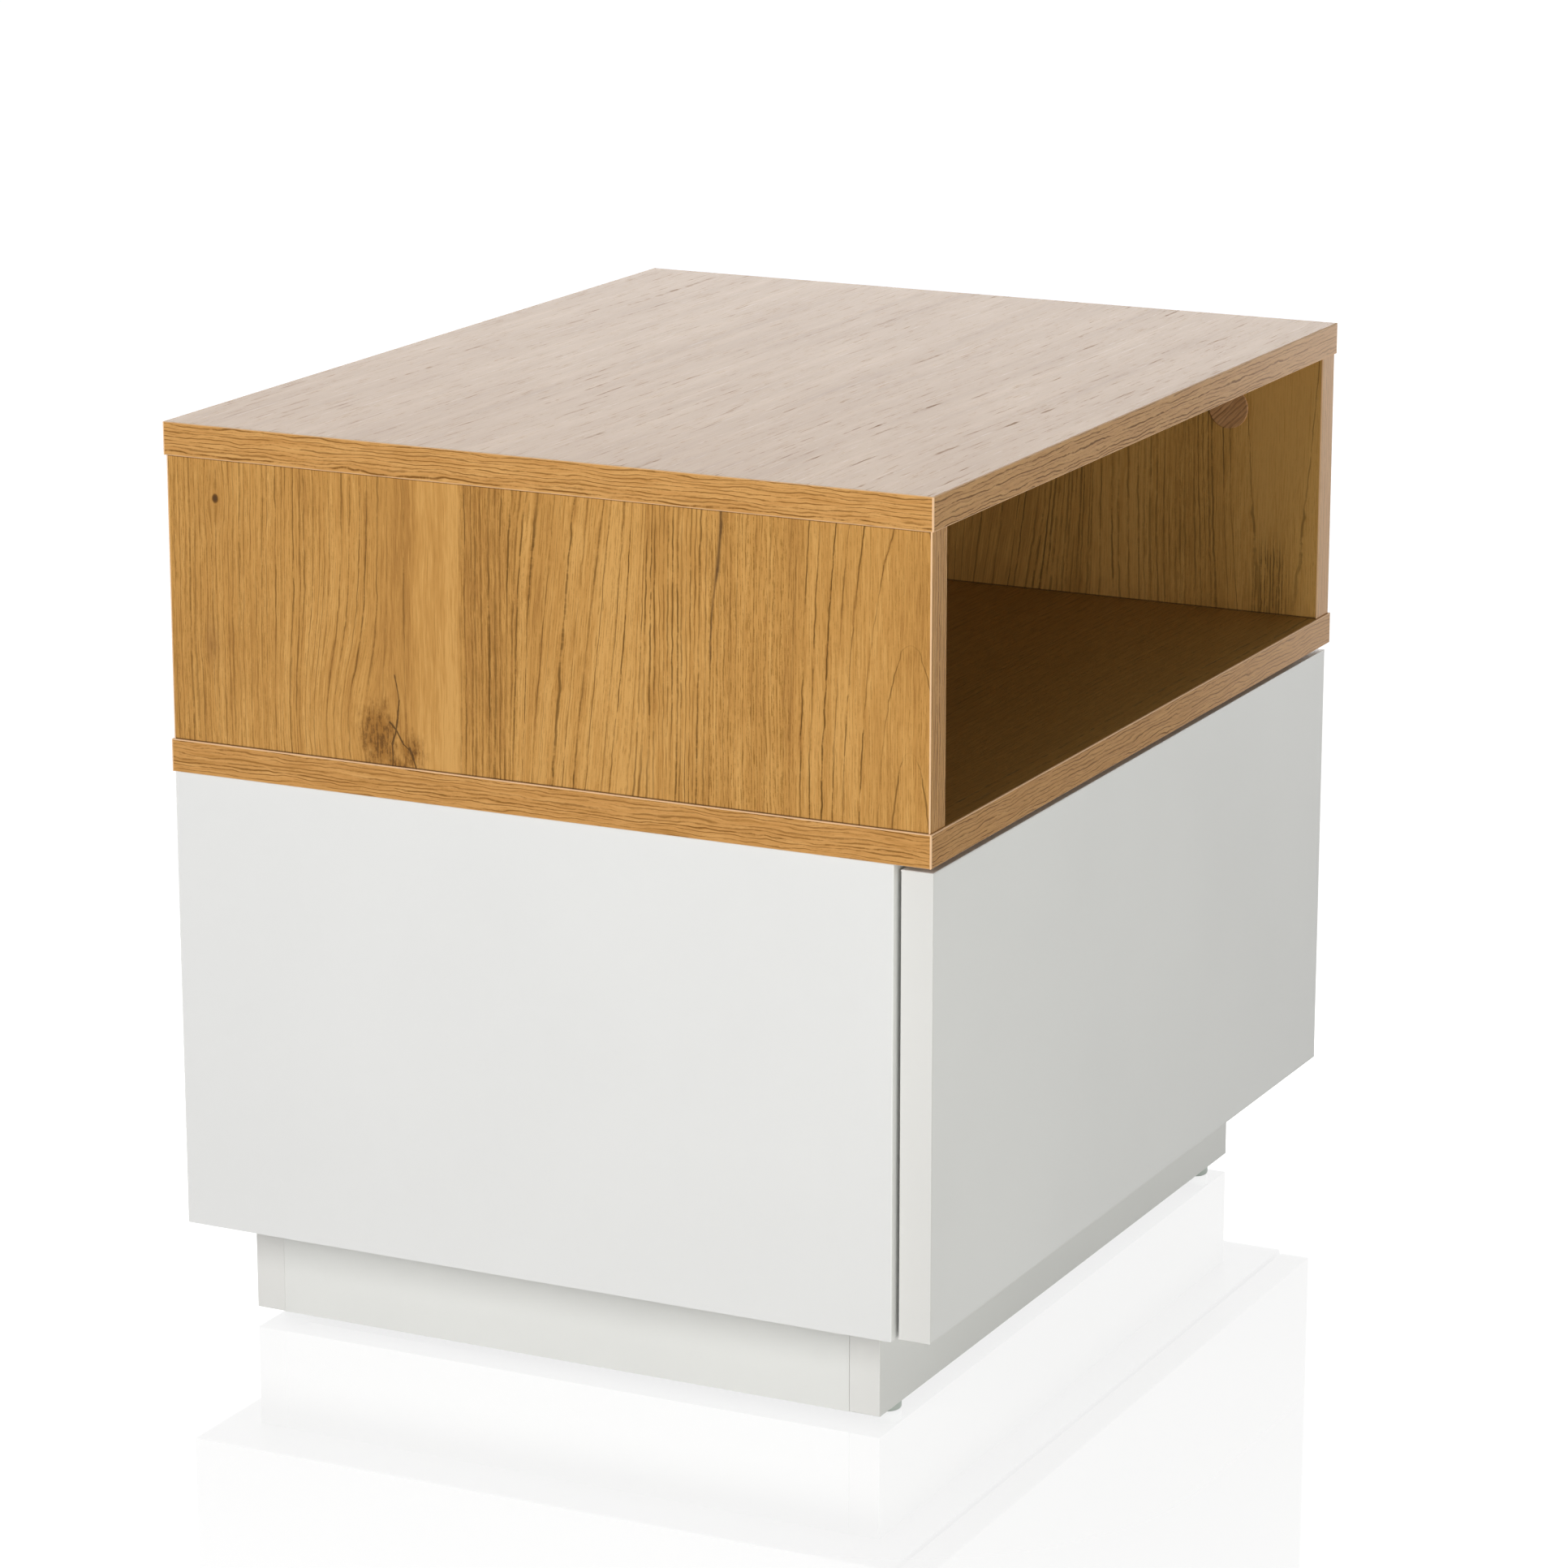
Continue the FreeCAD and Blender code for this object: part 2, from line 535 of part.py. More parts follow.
def latch_housing():
    """Housing with a blind bore, and a lug above and below for its screws."""
    body = box((LATCH_X - LATCH_HALF_WIDTH, LATCH_X + LATCH_HALF_WIDTH), LATCH_Y,
               (LATCH_Z - LATCH_HALF_WIDTH, LATCH_Z + LATCH_HALF_WIDTH))
    middle = sum(LATCH_Y) / 2
    lugs = box((-INNER_X, -INNER_X + LATCH_LUG),
               (middle - LATCH_LUG_LENGTH / 2, middle + LATCH_LUG_LENGTH / 2),
               (LATCH_Z - LATCH_LUG_HALF_HEIGHT, LATCH_Z + LATCH_LUG_HALF_HEIGHT))
    bore = latch_rod((LATCH_Y[0], SPRING_Y[1]), PLUNGER_RADIUS + PLUNGER_RUNNING_PLAY)
    screws = [screw_bore(*place) for place in latch_screw_places()]
    return cut(fuse([body, lugs]), [bore] + screws)


def latch_magnet():
    return latch_rod((PLUNGER_Y[0], PLUNGER_Y[0] + MAGNET_LENGTH), MAGNET_RADIUS)


def latch_plunger():
    return latch_rod(PLUNGER_Y, PLUNGER_RADIUS).cut(latch_magnet())


def latch_spring():
    """Compression spring between the plunger and the end of the bore.

    Its wire runs in short straight steps from turn to turn.
    """
    start = SPRING_Y[0] + SPRING_WIRE_RADIUS + SPRING_END_PLAY
    length = SPRING_LENGTH - 2 * (SPRING_WIRE_RADIUS + SPRING_END_PLAY)
    steps = SPRING_TURNS * STEPS_PER_TURN
    points = []
    for step in range(steps + 1):
        angle = 2 * math.pi * step / STEPS_PER_TURN
        x = LATCH_X + SPRING_RADIUS * math.cos(angle)
        z = LATCH_Z + SPRING_RADIUS * math.sin(angle)
        points.append(Vector(x, start + length * step / steps, z))
    section = Part.Wire([Part.makeCircle(SPRING_WIRE_RADIUS, points[0], points[1] - points[0])])
    return Part.makePolygon(points).makePipeShell([section], True, False, MITRED)


def strike_plate():
    """Steel disc stuck on the back of the door, in front of the plunger."""
    return latch_rod((DOOR_Y[1], DOOR_Y[1] + STRIKE_THICKNESS), STRIKE_RADIUS)


def bores():
    """Everything that is bored or grooved out of the boards."""
    tools = [bore for joint in cam_joints() for bore in cam_bores(joint)]
    tools += [dowel_bore(joint) for joint in dowel_joints()]
    tools += [long_screw(point) for point in long_screw_points()]
    tools += [screw_bore(*place) for joint in bracket_joints() for place in bracket_screw_places(joint)]
    tools += [screw_bore(*place) for z in HINGE_ZS for place in arm_screw_places(z)]
    tools += [screw_bore(*place) for place in latch_screw_places()]
    tools += [glide_nail(point) for point in glide_points()]
    play = (GROOVE_END_PLAY, GROOVE_SIDE_PLAY)
    tools += [back_panel(z, play) for z in (compartment_clear(), cabinet_clear())]
    return tools


def compartment_clear():
    return UPRIGHT_Z


def cabinet_clear():
    return (BASE_Z[1], PANEL_Z[1])


def export_board(name, spans, banded, tools):
    core, bands = edged_board(*spans, banded)
    export(name, [cut(core, tools)])
    if bands:
        export(name + "_edging", [band.cut(Part.makeCompound(tools)) for band in bands])


def export_boards():
    """All coated boards of the carcass, each with its edge bands."""
    tools = bores()
    all_round = [(1, -1), (1, 1), (0, -1), (0, 1)]
    front_and_back = [(1, -1), (1, 1)]
    half = WIDTH / 2
    slab = ((-half, half), (FRONT_Y, BACK_Y))
    export_board("top_board", slab + (TOP_Z,), all_round, tools)
    export_board("middle_board", slab + (MIDDLE_Z,), all_round, tools)
    for side, name in zip(SIDES, ("left", "right")):
        x_span = (side * INNER_X, side * OUTER_X)
        export_board("upright_" + name, (x_span, UPRIGHT_Y, UPRIGHT_Z), front_and_back, tools)
        export_board("side_panel_" + name, (x_span, PANEL_Y, PANEL_Z), front_and_back, tools)
        plinth_x = (side * (PLINTH_X - BOARD), side * PLINTH_X)
        plinth_y = (PLINTH_Y[0] + BOARD, PLINTH_Y[1] - BOARD)
        export_board("plinth_" + name, (plinth_x, plinth_y, PLINTH_Z), [], tools)
    export_board("base_board", ((-INNER_X, INNER_X), PANEL_Y, BASE_Z), front_and_back, tools)
    ends = [(0, -1), (0, 1)]
    plinth_x = (-PLINTH_X, PLINTH_X)
    front_y = (PLINTH_Y[0], PLINTH_Y[0] + BOARD)
    back_y = (PLINTH_Y[1] - BOARD, PLINTH_Y[1])
    export_board("plinth_front", (plinth_x, front_y, PLINTH_Z), ends, tools)
    export_board("plinth_back", (plinth_x, back_y, PLINTH_Z), ends, tools)


def export_back_panels():
    export("compartment_back", [back_panel(compartment_clear())])
    export("cabinet_back", [back_panel(cabinet_clear())])


def export_fittings():
    """What joins the boards, and the caps over the cam locks."""
    joints = cam_joints()
    export("cam_locks", [cam_lock(joint) for joint in joints])
    export("cam_bolts", [cam_bolt(joint) for joint in joints])
    above_middle = [joint for joint in joints if joint[0].z > MIDDLE_Z[1]]
    below_middle = [joint for joint in joints if joint[0].z < MIDDLE_Z[1]]
    export("oak_cover_caps", [cover_cap(joint) for joint in above_middle])
    export("white_cover_caps", [cover_cap(joint) for joint in below_middle])
    export("dowels", [dowel(joint) for joint in dowel_joints()])
    export("long_screws", [long_screw(point) for point in long_screw_points()])


def export_foot():
    """Brackets that hold the plinth to the base board, and the glides under it."""
    brackets = bracket_joints()
    export("plinth_brackets", [plinth_bracket(joint) for joint in brackets])
    export("bracket_screws", [screw(*place) for joint in brackets for place in bracket_screw_places(joint)])
    export("glides", [glide(point) for point in glide_points()])
    export("glide_nails", [glide_nail(point) for point in glide_points()])


def export_door():
    """Door, its bands, and all that turns with it."""
    tools = [pocket for z in HINGE_ZS for pocket in hinge_pockets(z)]
    all_round = [(2, -1), (2, 1), (0, -1), (0, 1)]
    export_board("door", ((-DOOR_X, DOOR_X), DOOR_Y, DOOR_Z), all_round, tools)
    export("hinge_cups", [hinge_cup(z) for z in HINGE_ZS])
    export("hinge_pins", [hinge_pin(z) for z in HINGE_ZS])
    export("hinge_cup_screws", [screw(*place) for z in HINGE_ZS for place in cup_screw_places(z)])
    export("strike_plate", [strike_plate()])


def export_hardware():
    """Hinge arms and push latch, fixed to the side panels."""
    export("hinge_arms", [hinge_arm(z) for z in HINGE_ZS])
    export("hinge_arm_screws", [screw(*place) for z in HINGE_ZS for place in arm_screw_places(z)])
    export("latch_housing", [latch_housing()])
    export("latch_screws", [screw(*place) for place in latch_screw_places()])
    export("latch_spring", [latch_spring()])
    export("latch_plunger", [latch_plunger()])
    export("latch_magnet", [latch_magnet()])


os.makedirs("parts", exist_ok=True)
export_boards()
export_back_panels()
export_fittings()
export_foot()
export_door()
export_hardware()
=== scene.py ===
import math
from dataclasses import dataclass

import bpy
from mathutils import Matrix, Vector


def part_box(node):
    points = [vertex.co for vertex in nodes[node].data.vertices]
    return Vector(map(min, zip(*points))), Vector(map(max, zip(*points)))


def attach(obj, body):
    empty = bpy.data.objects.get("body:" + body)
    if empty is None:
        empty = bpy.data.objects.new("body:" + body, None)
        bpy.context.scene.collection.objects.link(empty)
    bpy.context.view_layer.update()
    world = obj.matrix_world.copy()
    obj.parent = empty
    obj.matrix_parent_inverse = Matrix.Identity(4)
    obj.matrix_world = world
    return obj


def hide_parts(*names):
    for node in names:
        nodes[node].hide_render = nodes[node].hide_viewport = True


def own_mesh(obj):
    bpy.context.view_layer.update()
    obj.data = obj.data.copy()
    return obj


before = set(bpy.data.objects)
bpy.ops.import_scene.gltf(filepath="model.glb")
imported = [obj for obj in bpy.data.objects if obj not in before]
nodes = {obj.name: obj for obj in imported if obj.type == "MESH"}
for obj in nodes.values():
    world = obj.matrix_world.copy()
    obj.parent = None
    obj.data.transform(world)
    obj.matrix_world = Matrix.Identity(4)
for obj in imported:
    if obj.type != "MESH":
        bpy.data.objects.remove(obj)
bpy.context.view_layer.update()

# ------------------------------------------------------------ sizes, in millimetres

BAND = 0.8                # thickness of the edge bands
BAND_LIP = 0.5            # height of the light rim along a band's face
TABLE_X = 250.0           # half the top's width, over its bands
TABLE_Y = 200.0           # half its depth
BOARD = 16.0              # thickness of a board
TOP_LEVEL = 446.0         # height of the middle of the top board
MIDDLE_LEVEL = 292.0      # and of the middle board
UPRIGHT_FOOT = 300.0      # heights between which the uprights stand
UPRIGHT_HEAD = 438.0
UPRIGHT_HALFWAY = (UPRIGHT_FOOT + UPRIGHT_HEAD) / 2
UPRIGHT_MIDDLE = 241.0    # how far out the middle of their thickness lies
PLINTH_X = 217.5          # half the plinth's width
PLINTH_Y = 170.0          # about half its depth

# ------------------------------------------------------------ colours, as sRGB 0 to 255

OAK_WOODS = ((203, 152, 76), (187, 135, 60), (162, 112, 44))       # pale, middle, brown
UPRIGHT_WOODS = ((207, 157, 88), (191, 140, 72), (166, 117, 56))
OAK_LINE = (96, 64, 14)
OAK_PORE = (130, 90, 28)
# dark olive that the middle board is drawn towards: painted shade of its compartment
OAK_PAINTED_SHADE = (84, 82, 44)
# the uprights' joint lines, with painted contact shadow
OAK_SEAM_SHADOW = (70, 48, 26)
KNOT_PATCH = (148, 99, 38)
KNOT_FIBRE = (98, 62, 16)
KNOT_CRACK = (74, 48, 16)
KNOT_HALO = (162, 112, 48)
KNOT_SMUDGE = (140, 97, 48)
STREAK_INK = (92, 62, 26)
TOP_LINE = (142, 90, 30)
TOP_PORE = (166, 112, 44)
TOP_PAINTED_GLINT = (238, 214, 176)
TOP_WASH = (172, 165, 168)
INNER_WASH = (196, 164, 96)
CAP_WOODS = ((206, 158, 112), (186, 138, 92))      # pale, middle
BAND_WOODS = ((212, 161, 97), (198, 145, 82))
BAND_LINE = (122, 80, 32)
BAND_SPECK = (160, 112, 52)
# painted shade for the bands that face forwards or back
BAND_PAINTED_SHADE = (60, 50, 26)
BAND_CORE = (236, 196, 154)
# pale colour of the painted sheen on the front bands' right side
BAND_PAINTED_SHEEN = (237, 198, 164)

# two tones each, between which the surface clouds
WHITE = ((231, 231, 229), (235, 235, 233))
SIDE_WHITE = ((229, 229, 228), (231, 231, 230))
EDGE_WHITE = ((222, 221, 218), (225, 224, 221))
# the plinth's white is greyer: painted shade under the cabinet
PLINTH_WHITE_SHADED = ((224, 224, 221), (228, 228, 225))
HARDBOARD_WHITE = ((225, 225, 221), (221, 221, 217))
CAP_WHITE = ((232, 232, 230), (226, 226, 223))
GLIDE_GREY = ((208, 216, 210), (196, 204, 199))
LATCH_GREY = ((196, 198, 200), (186, 188, 190))
STEEL = ((196, 198, 200), (170, 172, 176))
ZINC = ((182, 184, 188), (150, 153, 158))
NICKEL = ((170, 170, 168), (140, 140, 140))
BEECH = ((222, 192, 148), (196, 160, 112))
EDGE_PAINTED_LIGHT = (250, 246, 248)      # the white edges where they face up: painted light


def linear(rgb):
    """An sRGB colour of 0 to 255 as the linear colour that a socket takes."""
    def channel(value):
        value /= 255
        return value / 12.92 if value <= 0.04045 else ((value + 0.055) / 1.055) ** 2.4
    return (*[channel(value) for value in rgb], 1.0)


def grey(level):
    """A linear grey of 0 to 1 as the colour that a socket takes."""
    return (level, level, level, 1.0)


# ------------------------------------------------------------ node trees as expressions


class Field:
    """A number that varies over a surface. Arithmetic on it adds Math nodes."""

    def __init__(self, graph, socket):
        self.graph = graph
        self.socket = socket

    def __add__(self, other):
        return self.graph.math("ADD", self, other)

    def __sub__(self, other):
        return self.graph.math("SUBTRACT", self, other)

    def __mul__(self, other):
        return self.graph.math("MULTIPLY", self, other)

    def __truediv__(self, other):
        return self.graph.math("DIVIDE", self, other)

    def __radd__(self, other):
        return self.graph.math("ADD", other, self)

    def __rsub__(self, other):
        return self.graph.math("SUBTRACT", other, self)

    def __rmul__(self, other):
        return self.graph.math("MULTIPLY", other, self)

    def __neg__(self):
        return self.graph.math("MULTIPLY", self, -1.0)

    def __abs__(self):
        return self.graph.math("ABSOLUTE", self)


class Graph:
    """A node tree that is built up from expressions."""

    def __init__(self, tree):
        self.tree = tree
        self.tree.nodes.clear()

    def feed(self, socket, value):
        if isinstance(value, Field):
            value = value.socket
        if isinstance(value, bpy.types.NodeSocket):
            self.tree.links.new(value, socket)
        else:
            socket.default_value = value

    def node(self, kind, *values, **settings):
        """A new node with these settings. The values go into its first sockets."""
        made = self.tree.nodes.new(kind)
        for name, value in settings.items():
            setattr(made, name, value)
        for socket, value in zip(made.inputs, values):
            self.feed(socket, value)
        return made

    def math(self, operation, *values, clamp=False):
        made = self.node("ShaderNodeMath", *values, operation=operation, use_clamp=clamp)
        return Field(self, made.outputs[0])

    def highest(self, first, *others):
        """The highest of these numbers at each place."""
        for other in others:
            first = self.math("MAXIMUM", first, other)
        return first

    def blend(self, share, start, end):
        """A number between start and end."""
        return start + (end - start) * share

    def step(self, value, low, high, start=0.0, end=1.0):
        """Goes smoothly from start to end while value goes from low to high."""
        made = self.node("ShaderNodeMapRange", value, low, high, start, end,
                         interpolation_type="SMOOTHSTEP")
        return Field(self, made.outputs[0])

    def beyond(self, value, limit, soft, start=0.0, end=1.0):
        """Goes from start to end where value passes the limit, over soft on either side."""
        return self.step(value, limit - soft, limit + soft, start, end)

    def hill(self, value, width):
        """1 where value is 0, falling as a bell whose width is given."""
        ratio = value / width
        return self.math("EXPONENT", -(ratio * ratio))

    def vector(self, x, y, z=0.0):
        return self.node("ShaderNodeCombineXYZ", x, y, z).outputs[0]

    def split(self, vector):
        parts = self.node("ShaderNodeSeparateXYZ", vector)
        return [Field(self, part) for part in parts.outputs]

    def scaled(self, vector, factor):
        made = self.node("ShaderNodeVectorMath", vector, operation="SCALE")
        self.feed(made.inputs["Scale"], factor)
        return made.outputs[0]

    def noise(self, vector, detail=1.0, roughness=0.5):
        """Smooth noise round 0, within about half a unit either way."""
        made = self.node("ShaderNodeTexNoise")
        self.feed(made.inputs["Vector"], vector)
        self.feed(made.inputs["Scale"], 1.0)
        self.feed(made.inputs["Detail"], detail)
        self.feed(made.inputs["Roughness"], roughness)
        return Field(self, made.outputs[0]) - 0.5

    def spots(self, across, along, wide, long, seed, detail=1.0, roughness=0.5):
        """Noise over a board, its spots about wide by long millimetres."""
        return self.noise(self.vector(across / wide, along / long, seed), detail, roughness)

    def random(self, value, shift):
        """A random number from 0 to 1 for each whole value."""
        made = self.node("ShaderNodeTexWhiteNoise", noise_dimensions="1D")
        self.feed(made.inputs["W"], value + shift)
        return Field(self, made.outputs["Value"])

    def mix(self, share, start, end):
        """A colour between start and end, each a named colour or an earlier mix."""
        made = self.node("ShaderNodeMix", share, data_type="RGBA")
        for socket, colour in ((made.inputs[6], start), (made.inputs[7], end)):
            self.feed(socket, linear(colour) if isinstance(colour, tuple) else colour)
        return made.outputs[2]

    def shown(self):
        """1 for what the camera sees straight, in a mirror or through glass, and else 0."""
        rays = self.node("ShaderNodeLightPath").outputs
        return self.highest(rays["Is Camera Ray"], rays["Is Glossy Ray"],
                            rays["Is Transmission Ray"])


class Surface(Graph):
    """A material. x, y and z are the place on a piece, in millimetres in the part's frame at
    rest, and nx, ny and nz are the way it faces."""

    def __init__(self, name):
        self.material = bpy.data.materials.new(name)
        self.material.use_nodes = True
        super().__init__(self.material.node_tree)
        self.shader = self.node("ShaderNodeBsdfPrincipled")
        self.output = self.node("ShaderNodeOutputMaterial")
        self.feed(self.output.inputs["Surface"], self.shader.outputs["BSDF"])
        place = self.node("ShaderNodeTexCoord")
        self.x, self.y, self.z = self.split(self.scaled(place.outputs["Object"], 1000.0))
        self.nx, self.ny, self.nz = self.split(place.outputs["Normal"])

    def grains(self, wide, deep, high, detail=2.0):
        """Noise in space, its grains about wide by deep by high millimetres."""
        return self.noise(self.vector(self.x / wide, self.y / deep, self.z / high), detail)

    def bump(self, height, distance):
        """Relief that the light shows. distance is the height of 1, in millimetres."""
        made = self.node("ShaderNodeBump")
        self.feed(made.inputs["Height"], height)
        made.inputs["Distance"].default_value = distance / 1000
        self.feed(self.shader.inputs["Normal"], made.outputs[0])

    def finish(self, colour, roughness, **uniform):
        self.feed(self.shader.inputs["Base Color"], colour)
        self.feed(self.shader.inputs["Roughness"], roughness)
        for name, value in uniform.items():
            self.shader.inputs[name.replace("_", " ")].default_value = value
        return self.material


# ------------------------------------------------------------ printed oak

SWAY = 2.4                # how far a growth line sways over some 80 mm
SHAKE = 0.8               # and shakes over some 11 mm
PORE_SPACING = 1.3
WIDE_PORE_SPACING = 1.9
GLINT_SPACING = 3.1        # between the top's rows of pale dashes, painted glints of its embossing
BESIDE_TONE = 0.45        # how much browner the wood is beside a growth line
OAK_ROUGHNESS = 0.42
RELIEF = 0.1              # depth of the printed wood's embossing


@dataclass(frozen=True)
class Ink:
    """Thin dark lines along the grain. Lengths are in millimetres."""
    dash: float           # how long a line runs before it breaks
    thin: float           # half the width of the finest line
    thick: float          # and of the widest
    gaps: float           # from -0.3, hardly broken, to 0.3, a few dashes
    wiggle: float = 0.35  # how far each line strays from its own middle


GROWTH = Ink(dash=26.0, thin=0.24, thick=0.42, gaps=-0.11, wiggle=0.45)
OUTER_GROWTH = Ink(dash=19.0, thin=0.24, thick=0.42, gaps=-0.09, wiggle=0.5)
INNER_GROWTH = Ink(dash=22.0, thin=0.3, thick=0.6, gaps=-0.09, wiggle=0.5)
TOP_GROWTH = Ink(dash=34.0, thin=0.26, thick=0.46, gaps=0.06, wiggle=0.25)
SHELF_GROWTH = Ink(dash=14.0, thin=0.22, thick=0.36, gaps=-0.04)
BESIDE_GROWTH = Ink(dash=45.0, thin=0.7, thick=1.5, gaps=0.02, wiggle=0.45)
PORES = Ink(dash=8.0, thin=0.17, thick=0.3, gaps=0.0, wiggle=0.3)
TOP_PORES = Ink(dash=24.0, thin=0.2, thick=0.34, gaps=0.09, wiggle=0.15)
BAND_ROWS = Ink(dash=28.0, thin=0.18, thick=0.34, gaps=-0.08, wiggle=0.5)
BAND_SPECKS = Ink(dash=8.0, thin=0.14, thick=0.26, gaps=0.0, wiggle=0.3)


@dataclass(frozen=True)
class Oak:
    """How one printed board looks. Lengths are in millimetres. Each noise in a board's print
    takes the board's seed and a shift of its own, so that no two are alike."""
    seed: float
    spacing: float = 2.4       # between growth lines
    bold: float = 1.0          # how dark they are
    fine: float = 0.6          # how dark the pores between them are
    growth: Ink = GROWTH
    pores: Ink = PORES
    pore_spacing: float = PORE_SPACING
    wander: float = 8.0        # how far the lines drift sideways
    heart: float = 900.0       # where across the board the growth rings have their middle
    slope: float = 0.15        # how steeply the board was cut through them
    tip: float = 250.0         # along the board, where that cut meets the middle
    first: float = -220.0      # across the board, where the count of its growth lines starts
    even: float = -400.0       # and up to where the lines keep to their spacing
    clouds: float = 1.0        # strength of the broad tones
    fibre: float = 1.0         # and of the fine ones along the grain
    pale: float = 0.0          # strength of pale dashes, painted glints of the embossing
    shade: float = 0.0         # how far the whole print is drawn towards the wash; for the middle board, painted shade
    wash: tuple = OAK_PAINTED_SHADE
    woods: tuple = OAK_WOODS
    line_ink: tuple = OAK_LINE
    pore_ink: tuple = OAK_PORE
    matt: float = 0.12         # how much rougher than the wood its lines are
    gloss: float = 0.5


def inked(g, phase, spacing, along, ink, seed, steep=1.0):
    """Lines at whole steps of phase, spacing apart, each broken into dashes of its own. steep
    is how fast the place across the wood changes along the surface. It keeps their width."""
    count = g.math("FLOOR", phase)

    # how far from the line's middle a place is: each line lies and strays as it likes
    middle = g.blend(g.random(count, seed + 0.31), 0.3, 0.7)
    stray = g.noise(g.vector(count * 3.7, along / 8, seed + 4.4)) * (2 * ink.wiggle)
    off = abs((g.math("FRACT", phase) - middle) * spacing + stray)

    # its dashes, which taper towards their ends
    run = g.noise(g.vector(count * 7.31, along / ink.dash, seed), 5.0, 0.7)
    strength = g.step(run, ink.gaps - 0.1, ink.gaps + 0.12)
    width = g.blend(g.random(count, seed + 0.73), ink.thin, ink.thick)
    width = width * g.blend(strength, 0.4, 1.0) * steep
    profile = g.step(off / width, 0.55, 1.45, 1.0, 0.0)

    # some lines are fainter, and so are the tips of the arches, where lines run crosswise
    darkness = g.blend(g.random(count, seed + 0.11), 0.6, 1.0)
    tips = g.step(steep, 0.15, 0.5, 0.25, 1.0) if isinstance(steep, Field) else 1.0
    return profile * strength * darkness * tips


def ruled(g, place, spacing, along, ink, seed):
    """Broken lines that lie spacing apart."""
    return inked(g, place / spacing, spacing, along, ink, seed)


def wood_place(g, across, along, oak):
    """The place across the wood itself, with the board's wander and the curve of its rings,
    then how fast it changes along the surface, and the same place without the curve."""
    drift = g.spots(across, along, 90, 260, oak.seed) * oak.wander
    sway = g.spots(across, along, 24, 80, oak.seed + 3.1) * SWAY
    shake = g.spots(across, along, 4, 11, oak.seed + 7.7) * SHAKE
    side = across + drift + sway + shake - oak.heart
    depth = (along - oak.tip) * oak.slope
    ring = g.math("SQRT", side * side + depth * depth)
    fall = depth * oak.slope
    steep = g.math("SQRT", side * side + fall * fall) / ring
    return ring + oak.heart, steep, side + oak.heart


def oak_tone(g, place, along, oak):
    """Tones of the wood, from about -0.5, pale, to 0.5, brown."""
    broad = g.spots(place, along, 9, 330, oak.seed + 4.4, 3.0, 0.6)
    cloud = g.spots(place, along, 40, 110, oak.seed + 8.2, 2.0)
    fibre = g.spots(place, along, 0.3, 12, oak.seed + 12.5, 2.0)
    streak = g.spots(place, along, 0.9, 18, oak.seed + 16.5, 2.0, 0.6)
    fine = (fibre * 0.4 + streak * 0.5) * oak.fibre
    return (broad * 0.7 + cloud * 0.4) * oak.clouds + fine


def oak_colour(g, lines, pores, tone, oak):
    """The wood's own colours by tone, then its pores and its growth lines over them."""
    pale, middle, brown = oak.woods
    colour = g.mix(g.step(tone, -0.35, 0.05), pale, middle)
    colour = g.mix(g.step(tone, -0.02, 0.45), colour, brown)
    colour = g.mix(g.math("MINIMUM", pores * 0.7, 0.8), colour, oak.pore_ink)
    return g.mix(g.math("MINIMUM", lines, 1.0), colour, oak.line_ink)


def oak_finish(g, colour, lines, pores, tone, oak):
    g.bump(-0.6 * lines - 0.4 * pores - 0.1 * tone, RELIEF)
    roughness = OAK_ROUGHNESS + oak.matt * (lines + 0.8 * pores) + 0.08 * tone
    return g.finish(colour, roughness, Specular_IOR_Level=oak.gloss)


def oak_board(name, oak, across_axis="y", along_axis="x"):
    """A board whose print is much the same all over."""
    g = Surface(name)
    along = getattr(g, along_axis)
    wood, steep, straight = wood_place(g, getattr(g, across_axis), along, oak)
    stretch = g.noise(g.vector(wood / 26, oak.seed + 1.7)) * 5.0
    phase = wood / oak.spacing + stretch
    zone = g.beyond(g.spots(wood, along, 16, 240, oak.seed + 9.1), 0.0, 0.16)
    lines = inked(g, phase, oak.spacing, along, oak.growth, oak.seed, steep)
    lines = lines * g.blend(zone, 0.4, 1.0) * oak.bold
    pores = ruled(g, straight, oak.pore_spacing, along, oak.pores, oak.seed + 20)
    pores = pores * g.blend(zone, 1.0, 0.5) * oak.fine
    tone = oak_tone(g, straight, along, oak)
    colour = oak_colour(g, lines, pores, tone, oak)
    # painted glints: pale dashes for the light that the embossing catches
    if oak.pale:
        light = ruled(g, straight, GLINT_SPACING, along, oak.growth, oak.seed + 40)
        colour = g.mix(light * oak.pale, colour, TOP_PAINTED_GLINT)
    if oak.shade:
        colour = g.mix(oak.shade, colour, oak.wash)
    return oak_finish(g, colour, lines, pores, tone, oak)


def oak_cover():
    """The caps' print runs slantwise and is a little pinker than the boards'."""
    oak = Oak(seed=96.0)
    diagonal = 0.7071
    g = Surface("oak_cap")
    across = (g.y + g.z) * diagonal
    along = (g.z - g.y) * diagonal
    wood = across + g.spots(across, along, 6, 12, oak.seed + 1) * 1.5
    lines = ruled(g, wood, 2.3, along, oak.growth, oak.seed + 2)
    pores = ruled(g, wood, 0.9, along, oak.pores, oak.seed + 3) * oak.fine
    tone = g.spots(wood, along, 2.5, 30, oak.seed, 2.0)
    colour = g.mix(g.beyond(tone, 0.0, 0.2), *CAP_WOODS)
    colour = g.mix(pores * 0.7, colour, oak.pore_ink)
    colour = g.mix(lines * 0.6, colour, oak.line_ink)
    return oak_finish(g, colour, lines, pores, tone, oak)


# ------------------------------------------------------------ uprights, laid out in strips


